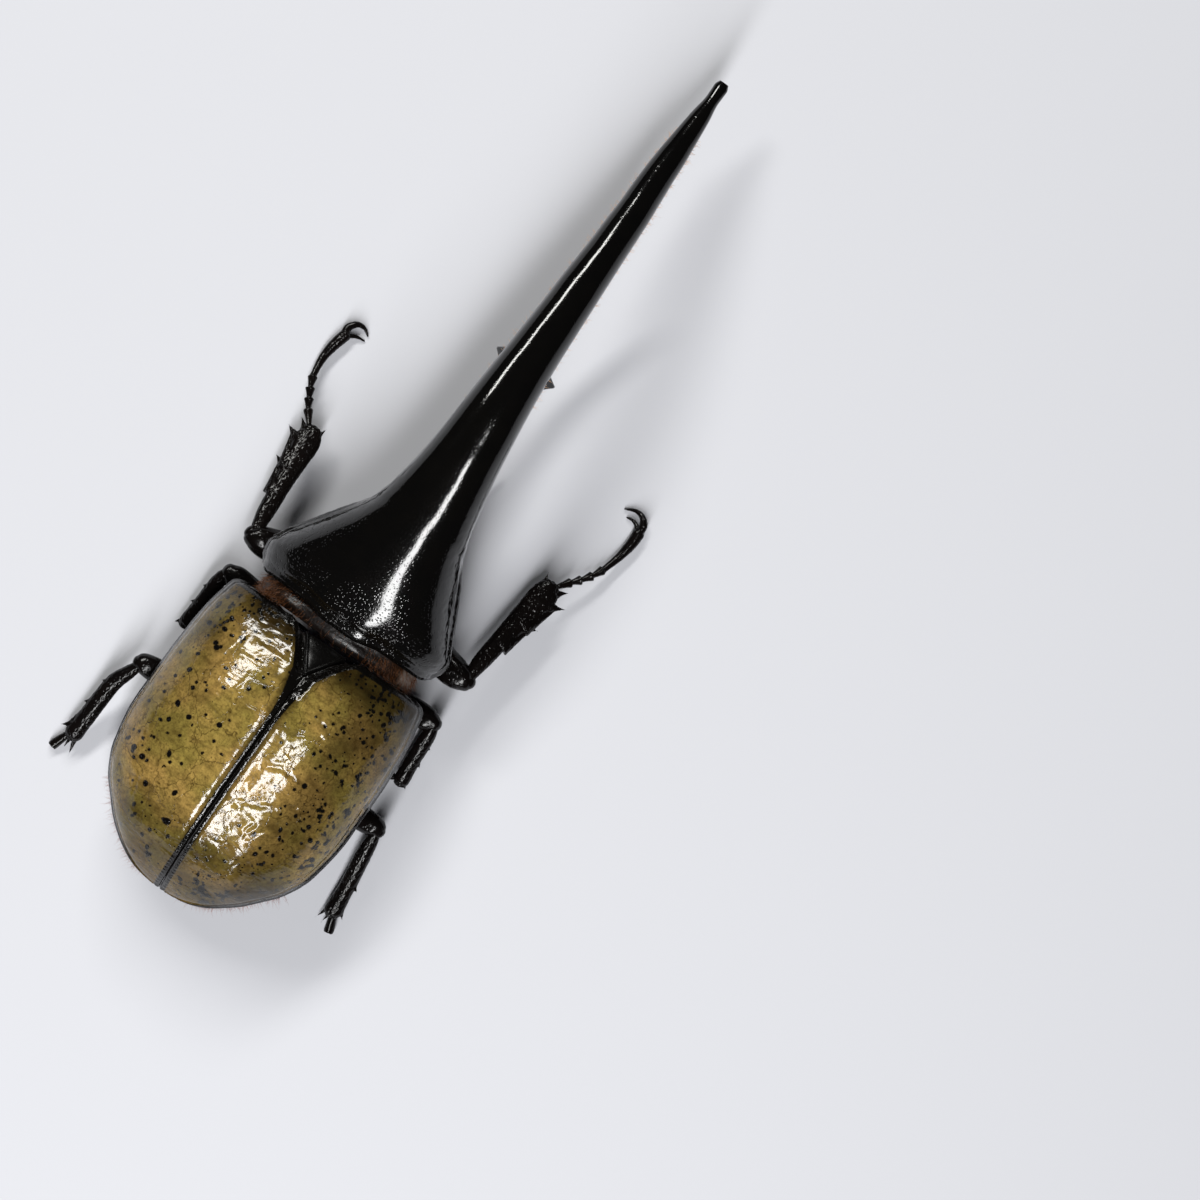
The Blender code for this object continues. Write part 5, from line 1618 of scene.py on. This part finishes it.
    def relief(self, at: np.ndarray) -> np.ndarray:
        """Wrinkle and pit the skin, with the groove that marks off the front plate.

        Args:
            at: Points in body millimetres.

        Returns:
            Height of each point in millimetres.
        """
        groove = 0.25 * np.exp(-((at[:, 1] - 37.8) / 0.3) ** 2) * (at[:, 2] < 11.5)
        rough = step(60, 36, at[:, 1])
        return 0.06 * rumple(at, 0.9, 51, 3) * rough - 0.08 * pits(at, 1.1, 0.34, 53) * rough - groove

    def build_eyes(self) -> None:
        """Make the two eyes."""
        for side in Side:
            globe = egg_rings(self.eye_radius, columns=60) + np.array(self.eye_at) * [side.value, 1, 1]
            obj = tube_mesh("compound_eye_" + side.word, leaned(globe))
            finish_piece(obj, self.finishes.cornea, Slot.EYE, "eye_" + side.word)

    def build_mouth(self) -> None:
        """Make jaws, lower lip and palps."""
        for side in Side:
            jaw = leaned(limb_grid(mirrored(self.jaw, side), sides=28, steps=8))
            obj = fuse("jaw_" + side.word, [jaw], voxel=0.14, rounds=3)
            finish_piece(obj, self.finishes.smooth, Slot.CHITIN, "mandible_" + side.word)
        grids = [limb_grid(self.lip, sides=32, steps=8)]
        for side in Side:
            grids.append(round_ends(limb_grid(mirrored(self.palp, side), sides=18, steps=6)))
        obj = fuse("lower_lip", map(leaned, grids), voxel=0.12, rounds=2)
        emboss(obj, lambda at: 0.03 * rumple(at, 0.6, 57, 2))
        finish_piece(obj, self.finishes.leg, Slot.CHITIN, "labium")

    def build_feelers(self) -> None:
        """Make the feelers: a shaft, beads and a club of three leaves."""
        for side in Side:
            point, move = np.array(self.scape[-1][:3]), np.array(self.bead_step)
            rows = []
            for _ in range(self.beads):
                rows += [(*(point + move * share), radius, radius) for share, radius in self.bead_rows]
                point = point + move
            grids = [limb_grid(mirrored(self.scape, side), sides=18, steps=6),
                     limb_grid(mirrored(rows, side), sides=18, steps=4)]
            for leaf in range(3):
                x = point[0] - self.leaf_spacing + self.leaf_spacing * leaf
                rows = [(x, point[1] + ahead, point[2] + up, half, depth)
                        for ahead, up, half, depth in self.leaf_rows]
                grids.append(round_ends(limb_grid(mirrored(rows, side), sides=18, steps=5)))
            obj = fuse("feeler_" + side.word, map(leaned, grids), voxel=0.1, rounds=2)
            finish_piece(obj, self.finishes.leg, Slot.MEMBRANE, "antenna_" + side.word)

    def build_hair(self) -> None:
        """Set the russet beard of the lip."""
        hair = Hair(self.beard)
        draw, count = hair.random, self.beard.count
        x, station = draw.uniform(-2.4, 2.4, count), draw.uniform(31.5, 40.0, count)
        roots = np.stack((x, station, np.full(count, 5.0)), axis=1)
        ways = np.stack((x * 0.3, draw.uniform(0.1, 1.0, count), np.full(count, -0.8)), axis=1)
        uv = np.stack((x / 6 + 0.5, (station - 31) / 10), axis=1)
        finish_piece(hair.blades("lip_beard", leaned(roots), ways, uv), self.finishes.russet, Slot.CHITIN)

    def build(self) -> None:
        """Make every piece of the head."""
        self.build_capsule()
        self.build_eyes()
        self.build_mouth()
        self.build_feelers()
        self.build_hair()


def mirrored(rows: Rows, side: Side) -> list[tuple]:
    """Give rows for the left side, or their mirror image for the right."""
    return [(side.value * row[0], *row[1:]) for row in rows]


@dataclass
class Leg:
    """One leg: hip, thigh, shin with thorns, and foot with claws or its broken stump.

    Rows are x, station, z, half width and half height. A thorn is its root, its tip and
    its radius; one thicker than stout_thorn gets a buttress down the shin.
    """

    finishes: Finishes
    name: str
    hip: tuple[tuple[float, float, float], tuple[float, float, float]]
    thigh: Rows
    shin: Rows
    thorns: Sequence
    joints: Rows = ()
    claws: Sequence = ()
    stump: Rows = ()
    short_segments: int = 4
    stout_thorn: float = 0.85
    foot_spine: float = 0.16
    segment_shape: Rows = ((0.0, 0.52), (0.25, 0.6), (0.6, 0.78), (0.86, 0.96), (0.95, 0.8))
    last_radii: tuple[float, ...] = (0.64, 0.82, 1.1, 1.2)

    def build(self) -> None:
        """Make the four pieces of the leg."""
        centre, radii = self.hip
        hip = tube_mesh("hip_" + self.name, egg_rings(radii, columns=56) + np.array(centre))
        emboss(hip, lambda at: 0.05 * rumple(at, 1.2, 61, 2) - 0.06 * pits(at, 1.2, 0.3, 63))
        finish_piece(hip, self.finishes.leg, Slot.CHITIN, "coxa_" + self.name)
        thigh = round_ends(limb_grid(self.thigh, sides=44, steps=12))
        thigh = fuse("thigh_" + self.name, [thigh], voxel=0.22, rounds=3)
        emboss(thigh, lambda at: 0.03 * rumple(at, 1.4, 65, 2) - 0.07 * pits(at, 1.5, 0.3, 67))
        finish_piece(thigh, self.finishes.leg, Slot.CHITIN, "femur_" + self.name)
        shin = fuse("shin_" + self.name, self.shin_grids(), voxel=0.13, rounds=3)
        emboss(shin, self.shin_relief)
        finish_piece(shin, self.finishes.leg, Slot.CHITIN, "tibia_" + self.name)
        self.build_foot()

    def shin_grids(self) -> list[np.ndarray]:
        """Draw the shin with its thorns, and a buttress behind each stout one.

        Returns:
            Rings of each form.
        """
        grids = [round_ends(limb_grid(self.shin, sides=40, steps=10))]
        along = np.array(self.shin[-1][:3]) - np.array(self.shin[0][:3])
        along = along / np.linalg.norm(along)
        for root, tip, radius in self.thorns:
            root, tip = np.array(root), np.array(tip)
            grids.append(thorn_grid(root, tip, radius, 0.15))
            if radius > self.stout_thorn:
                back = root - along * 3.4 * radius
                grids.append(thorn_grid(back, root + (tip - root) * 0.72, radius * 1.25))
        return grids

    def shin_relief(self, at: np.ndarray) -> np.ndarray:
        """Sink long rows of pits in the shin, cut by fine wrinkles."""
        stretched = at * [1.0, 0.55, 1.0]
        return -0.11 * pits(stretched, 0.55, 0.3, 71) + 0.04 * rumple(at, 0.6, 73, 2)

    def foot_rows(self) -> list[tuple]:
        """List the sections of the foot: short segments that flare, then a long one.

        Returns:
            x, station, z, half width and half height of each section.
        """
        rows = []
        joints = np.array(self.joints)
        for start, end in zip(joints[:self.short_segments], joints[1:]):
            for share, size in self.segment_shape:
                rows.append((*(start + (end - start) * share), size, size * 0.92))
        for joint, size in zip(self.joints[self.short_segments:], self.last_radii):
            rows.append((*joint, size, size * 0.9))
        return rows

    def build_foot(self) -> None:
        """Make the foot and its claws, or the stump that is left of it."""
        if self.stump:
            grids = [limb_grid(self.stump, sides=26, steps=8)]
        else:
            grids = [round_ends(limb_grid(self.foot_rows(), sides=24, steps=4))]
            for claw in self.claws:
                grids.append(limb_grid(claw, sides=18, steps=7))
            for joint in self.joints[1:self.short_segments + 1]:
                for lean in (-0.5, 0.5):
                    tip = np.array(joint) + [lean * 1.6, 0.3 * lean, -0.7]
                    grids.append(thorn_grid(joint, tip, self.foot_spine))
        foot = fuse("foot_" + self.name, grids, voxel=0.1, rounds=2)
        emboss(foot, lambda at: 0.03 * rumple(at, 0.5, 75, 2))
        finish_piece(foot, self.finishes.leg, Slot.CHITIN, "tarsus_" + self.name)


# Centre and half lengths of each hip; x turns to the other side on the right
HIPS = {
    "front": ((8.0, 9.0, 5.9), (4.6, 3.8, 4.5)),
    "mid": ((7.2, -5.6, 4.2), (4.8, 3.4, 3.6)),
    "hind": ((9.0, -25.3, 4.3), (7.6, 2.9, 3.7))}
# Sections of each thigh and shin: x, station, z, half width and half height
FEMORA = {
    "front_left": (
        (10.2, 9.0, 6.3, 2.6, 2.3), (15.0, 8.4, 7.6, 3.2, 2.7), (20.8, 6.8, 9.6, 3.2, 2.7),
        (24.0, 6.6, 10.4, 2.3, 2.2), (25.1, 6.8, 10.6, 1.3, 1.3)),
    "front_right": (
        (-10.2, 9.0, 6.3, 2.6, 2.3), (-15.0, 8.6, 7.6, 3.1, 2.7), (-21.6, 7.4, 9.6, 3.1, 2.7),
        (-25.0, 7.3, 10.4, 2.2, 2.2), (-26.1, 7.5, 10.6, 1.2, 1.3)),
    "mid_left": (
        (9.6, -4.9, 4.6, 2.3, 2.1), (14.0, -3.9, 5.8, 2.7, 2.4), (18.0, -2.8, 7.0, 2.7, 2.4),
        (22.3, -2.1, 8.4, 2.5, 2.2), (24.3, -1.7, 9.0, 1.5, 1.5)),
    "mid_right": (
        (-9.6, -5.0, 4.6, 2.3, 2.1), (-14.0, -4.3, 5.8, 2.6, 2.4), (-18.0, -3.4, 7.0, 2.6, 2.4),
        (-23.0, -3.0, 8.4, 2.4, 2.2), (-25.3, -3.0, 9.0, 1.4, 1.5)),
    "hind_left": (
        (14.0, -25.4, 5.3, 2.4, 2.1), (18.0, -25.4, 6.6, 2.6, 2.2), (23.4, -25.3, 8.0, 2.5, 2.2),
        (27.0, -25.5, 8.9, 2.1, 2.0), (28.4, -26.0, 9.0, 1.2, 1.2)),
    "hind_right": (
        (-14.0, -25.4, 5.3, 2.4, 2.1), (-18.0, -25.5, 6.6, 2.6, 2.2), (-23.6, -25.6, 8.0, 2.5, 2.2),
        (-27.0, -25.5, 8.9, 2.1, 2.0), (-28.4, -26.0, 9.0, 1.2, 1.2))}
TIBIAE = {
    "front_left": (
        (24.1, 6.9, 10.8, 1.0, 1.0), (24.4, 9.4, 10.3, 1.45, 1.25), (24.7, 12.0, 9.8, 1.75, 1.3),
        (25.3, 18.0, 8.7, 1.9, 1.3), (25.7, 23.0, 7.8, 2.25, 1.3), (26.1, 26.6, 7.2, 2.6, 1.25),
        (26.7, 28.6, 6.8, 2.3, 1.1), (27.2, 29.4, 6.6, 1.5, 0.8)),
    "front_right": (
        (-25.1, 7.6, 10.8, 1.0, 1.0), (-25.1, 10.0, 10.3, 1.45, 1.25), (-25.3, 12.6, 9.9, 1.75, 1.3),
        (-26.0, 18.4, 8.7, 2.0, 1.3), (-26.8, 24.0, 7.7, 2.4, 1.3), (-27.5, 28.4, 7.1, 2.75, 1.25),
        (-28.0, 30.6, 6.8, 2.4, 1.1), (-28.4, 31.4, 6.6, 1.5, 0.8)),
    "mid_left": (
        (23.8, -1.8, 9.2, 1.0, 1.0), (24.5, -4.4, 8.3, 1.5, 1.25), (24.9, -10.4, 5.9, 1.55, 1.3),
        (25.2, -14.2, 4.3, 1.6, 1.3), (25.3, -15.4, 3.9, 1.3, 0.9)),
    "mid_right": (
        (-24.8, -3.0, 9.2, 1.0, 1.0), (-25.1, -5.8, 8.3, 1.5, 1.25), (-25.4, -11.6, 5.7, 1.5, 1.3),
        (-25.7, -15.2, 4.3, 1.6, 1.3), (-25.8, -16.3, 3.9, 1.3, 0.9)),
    "hind_left": (
        (27.6, -26.4, 9.0, 1.0, 1.0), (28.6, -28.8, 8.1, 1.4, 1.25), (29.7, -31.6, 7.1, 1.65, 1.35),
        (30.1, -35.0, 6.0, 1.7, 1.35), (30.3, -38.6, 5.0, 1.75, 1.35), (30.5, -42.0, 4.0, 1.75, 1.35),
        (30.7, -44.4, 3.3, 1.85, 1.3), (30.8, -45.3, 3.0, 1.5, 0.9)),
    "hind_right": (
        (-27.7, -26.3, 9.0, 1.0, 1.0), (-27.9, -28.8, 8.1, 1.4, 1.25), (-28.2, -31.8, 7.0, 1.6, 1.35),
        (-28.7, -35.4, 5.7, 1.6, 1.35), (-29.1, -39.0, 4.6, 1.6, 1.35), (-29.4, -42.2, 3.6, 1.8, 1.3),
        (-29.5, -43.7, 3.2, 1.8, 1.2), (-29.6, -44.4, 3.0, 1.4, 0.9))}
# Teeth and spurs of each shin: root, tip and root radius
SPINES = {
    "front_left": (
        ((26.4, 20.2, 8.1), (29.6, 21.6, 7.4), 1.5), ((27.0, 25.8, 7.1), (31.2, 27.7, 6.0), 1.6),
        ((27.2, 28.0, 6.6), (29.9, 30.3, 5.8), 1.1), ((25.4, 26.8, 6.9), (24.5, 31.2, 6.2), 1.1)),
    "front_right": (
        ((-27.2, 21.4, 8.0), (-30.7, 22.8, 7.4), 1.5), ((-28.4, 27.2, 7.1), (-32.6, 29.1, 6.1), 1.6),
        ((-28.6, 30.0, 6.6), (-31.4, 32.2, 6.0), 1.1), ((-26.7, 28.6, 6.9), (-25.8, 33.4, 6.3), 1.1)),
    "mid_left": (
        ((24.9, -5.8, 7.8), (26.8, -7.0, 7.4), 0.8), ((25.2, -9.4, 6.3), (27.1, -10.9, 5.7), 0.9),
        ((25.4, -13.8, 4.4), (27.6, -16.2, 3.4), 0.8), ((24.6, -14.2, 3.8), (24.2, -16.8, 2.6), 0.6)),
    "mid_right": (
        ((-25.3, -6.6, 7.8), (-27.2, -7.7, 7.4), 0.8), ((-25.7, -10.4, 6.2), (-27.5, -11.8, 5.6), 0.9),
        ((-26.0, -14.6, 4.5), (-27.5, -17.0, 3.4), 0.8), ((-25.2, -15.0, 3.8), (-24.9, -17.4, 2.6), 0.6)),
    "hind_left": (
        ((30.2, -31.6, 6.9), (32.2, -33.0, 6.5), 0.7), ((30.7, -36.8, 5.5), (32.8, -38.4, 5.1), 0.9),
        ((31.2, -42.6, 3.9), (33.9, -44.6, 3.0), 1.0), ((30.7, -44.2, 2.8), (30.9, -48.4, 0.5), 0.7),
        ((30.2, -44.0, 2.8), (29.2, -49.0, 0.5), 0.75)),
    "hind_right": (
        ((-29.2, -36.6, 5.3), (-31.4, -38.2, 4.9), 0.9), ((-30.1, -41.8, 3.6), (-32.2, -44.5, 2.2), 0.8),
        ((-28.8, -42.8, 2.8), (-27.3, -46.8, 0.8), 0.75), ((-29.4, -43.4, 2.6), (-28.8, -47.0, 0.6), 0.6))}
# Joints of each foot, from the shin outward
TARSI = {
    "front_left": (
        (27.8, 29.8, 6.2), (29.8, 32.2, 4.9), (30.9, 34.0, 4.2), (31.9, 35.8, 3.6),
        (32.8, 37.9, 2.9), (33.3, 41.6, 2.1), (33.0, 45.0, 1.8), (32.3, 47.9, 1.7)),
    "front_right": (
        (-28.9, 32.0, 6.2), (-30.5, 34.1, 4.9), (-31.8, 35.6, 4.2), (-33.1, 37.5, 3.5),
        (-34.1, 39.6, 2.8), (-35.1, 43.2, 2.1), (-35.6, 46.6, 1.8), (-35.6, 49.2, 1.7)),
    "mid_left": (
        (24.4, -15.2, 3.3), (22.6, -17.0, 2.5), (21.0, -18.0, 2.0), (19.5, -19.2, 1.7),
        (18.4, -20.6, 1.5), (17.6, -22.4, 1.4), (17.1, -24.4, 1.3), (17.0, -26.4, 1.3)),
    "mid_right": (
        (-25.0, -15.6, 3.3), (-22.8, -16.3, 2.5), (-21.0, -17.0, 2.0), (-19.4, -18.2, 1.7),
        (-18.2, -19.7, 1.5), (-17.5, -21.6, 1.4), (-17.1, -23.8, 1.3), (-17.0, -26.0, 1.3))}
CLAWS = {
    "front_left": (
        ((32.4, 47.3, 1.7, 0.8, 0.8), (32.7, 49.3, 1.6, 0.8, 0.75), (31.6, 50.8, 1.3, 0.6, 0.6),
         (30.1, 51.0, 0.9, 0.4, 0.45), (28.7, 50.1, 0.3, 0.15, 0.35)),
        ((32.2, 47.2, 1.4, 0.6, 0.6), (31.5, 48.2, 1.1, 0.5, 0.55), (30.3, 48.8, 0.7, 0.35, 0.45),
         (28.7, 49.0, 0.25, 0.15, 0.3))),
    "front_right": (
        ((-35.6, 48.8, 1.7, 0.8, 0.8), (-35.5, 50.9, 1.7, 0.8, 0.75), (-34.3, 52.2, 1.4, 0.6, 0.6),
         (-32.6, 52.4, 0.9, 0.4, 0.45), (-30.6, 51.5, 0.3, 0.15, 0.35)),
        ((-35.4, 48.7, 1.4, 0.6, 0.6), (-34.6, 50.0, 1.1, 0.5, 0.55), (-33.3, 50.6, 0.7, 0.35, 0.45),
         (-31.9, 50.4, 0.25, 0.15, 0.3))),
    "mid_left": (
        ((17.0, -26.0, 1.2, 0.6, 0.6), (17.8, -27.8, 1.0, 0.5, 0.5), (18.3, -29.6, 0.4, 0.15, 0.4)),
        ((17.0, -26.0, 1.2, 0.6, 0.6), (16.2, -27.8, 1.0, 0.5, 0.5), (15.9, -29.6, 0.4, 0.15, 0.4))),
    "mid_right": (
        ((-17.0, -25.6, 1.2, 0.6, 0.6), (-17.8, -27.4, 1.0, 0.5, 0.5), (-18.3, -29.2, 0.4, 0.15, 0.4)),
        ((-17.0, -25.6, 1.2, 0.6, 0.6), (-16.2, -27.4, 1.0, 0.5, 0.5), (-15.9, -29.2, 0.4, 0.15, 0.4)))}
# The hind feet are broken off after their first segment
STUMPS = {
    "hind_left": (
        (31.2, -44.0, 2.7, 0.5, 0.5), (31.9, -46.2, 1.9, 0.8, 0.75), (32.7, -48.3, 1.0, 1.0, 1.0),
        (32.9, -49.1, 0.9, 0.9, 0.9)),
    "hind_right": (
        (-29.9, -43.2, 2.7, 0.5, 0.5), (-30.3, -45.2, 1.9, 0.85, 0.75), (-30.9, -47.0, 1.0, 1.0, 1.0),
        (-31.1, -47.8, 0.9, 0.9, 0.9))}


def make_legs(finishes: Finishes) -> list[Leg]:
    """Set up all six legs, each in its own pose.

    Args:
        finishes: The beetle's materials.

    Returns:
        The legs.
    """
    legs = []
    for name, thigh in FEMORA.items():
        pair, hand = name.split("_")
        centre, radii = HIPS[pair]
        hip = ((Side[hand.upper()].value * centre[0], *centre[1:]), radii)
        legs.append(Leg(finishes, name, hip, thigh, TIBIAE[name], SPINES[name], TARSI.get(name, ()),
                        CLAWS.get(name, ()), STUMPS.get(name, ())))
    return legs


@dataclass
class Studio:
    """Pale floor, soft lights and the camera straight above.

    Centre, plane and distance are in body millimetres, the sensor is in millimetres, the
    heading in degrees, and floor_half, target and the lights in metres. A light is its
    name, place, direction of its long side, width and length, radiance in W/(sr m2) and
    colour.
    """

    centre: tuple[float, float] = (-36.89, 34.5)
    heading: float = 35.25
    image_pixels: float = 1200.0
    pixels_per_mm: float = 5.293
    plane: float = 16.0
    distance: float = 950.0
    sensor: float = 36.0
    floor_half: float = 1.6
    floor_colour: str = "#aeafb4"
    floor_roughness: float = 0.7
    sky_colour: str = "#dfe4ee"
    sky_strength: float = 0.03
    target: tuple[float, float, float] = (0.0, -0.03, 0.02)
    lights: Sequence = (
        ("strip_back", (-0.17, 0.5, 0.72), (0, 0.98, -0.65), (0.12, 1.25), 31.0, "#ffffff"),
        ("strip_front", (0.50, -0.52, 0.72), (0.4, 0.6, 0.18), (0.14, 0.8), 30.0, "#fffefa"))

    def build_floor(self) -> None:
        """Lay the floor."""
        mesh = bpy.data.meshes.new("floor")
        x, y, _ = place(np.array((*self.centre, 0.0)))
        corners = [(x + across * self.floor_half, y + along * self.floor_half, 0)
                   for across, along in ((-1, -1), (1, -1), (1, 1), (-1, 1))]
        mesh.from_pydata(corners, [], [(0, 1, 2, 3)])
        floor = new_object("floor", mesh)
        material, tree, shader, _ = new_tree("floor_card_pale")
        feed(tree, shader, {"Base Color": linear(self.floor_colour), "Roughness": self.floor_roughness})
        mesh.materials.append(material)

    def build_camera(self) -> None:
        """Hang the camera over the beetle so that it fills the frame as photographed."""
        data = bpy.data.cameras.new("camera")
        width = self.image_pixels / self.pixels_per_mm
        data.sensor_width = self.sensor
        data.lens = self.sensor * self.distance / width
        data.clip_start, data.clip_end = 0.01, 10.0
        camera = bpy.data.objects.new("camera", data)
        turn = math.radians(self.heading)
        right = Vector((-math.cos(turn), -math.sin(turn), 0))
        up = Vector((math.sin(turn), -math.cos(turn), 0))
        rotation = Matrix((right, up, right.cross(up))).transposed().to_4x4()
        at = place(np.array((*self.centre, self.plane + self.distance)))
        camera.matrix_world = Matrix.Translation(at) @ rotation
        bpy.context.scene.collection.objects.link(camera)
        bpy.context.scene.camera = camera

    def add_light(self, name: str, at: Sequence[float], along: Sequence[float],
                  size: tuple[float, float], radiance: float, tint: str) -> None:
        """Add one soft box that faces the beetle.

        Args:
            name: Its name.
            at: Its place in metres.
            along: The direction its long side follows.
            size: Width and length in metres.
            radiance: Brightness of its face, in W/(sr m2).
            tint: Its colour as hex.
        """
        data = bpy.data.lights.new(name, "AREA")
        data.shape = "RECTANGLE"
        data.size, data.size_y = size
        data.energy = radiance * math.pi * size[0] * size[1]
        data.color = linear(tint)[:3]
        lamp = bpy.data.objects.new(name, data)
        back = (Vector(at) - Vector(self.target)).normalized()
        length = (Vector(along) - back * back.dot(Vector(along))).normalized()
        turned = Matrix((length.cross(back), length, back)).transposed().to_4x4()
        lamp.matrix_world = Matrix.Translation(at) @ turned
        bpy.context.scene.collection.objects.link(lamp)

    def build_lights(self) -> None:
        """Set the soft boxes and the dim surround."""
        world = bpy.data.worlds.new("studio")
        world.use_nodes = True
        feed(world.node_tree, world.node_tree.nodes["Background"],
             {"Color": linear(self.sky_colour), "Strength": self.sky_strength})
        bpy.context.scene.world = world
        bpy.context.scene.view_settings.view_transform = "Standard"
        for light in self.lights:
            self.add_light(*light)


def main() -> None:
    """Build the beetle piece by piece, then the studio."""
    logging.basicConfig(level=logging.INFO, format="%(message)s")
    finishes = Finishes()
    prothorax = Prothorax(finishes)
    cases = WingCases(finishes)
    trunk = Trunk(finishes, cases)
    for assembly in (prothorax, cases, trunk, Head(finishes), *make_legs(finishes)):
        assembly.build()
    prothorax.build_hair()
    trunk.build_hair()
    studio = Studio()
    studio.build_floor()
    studio.build_lights()
    studio.build_camera()


if __name__ == "__main__":
    main()
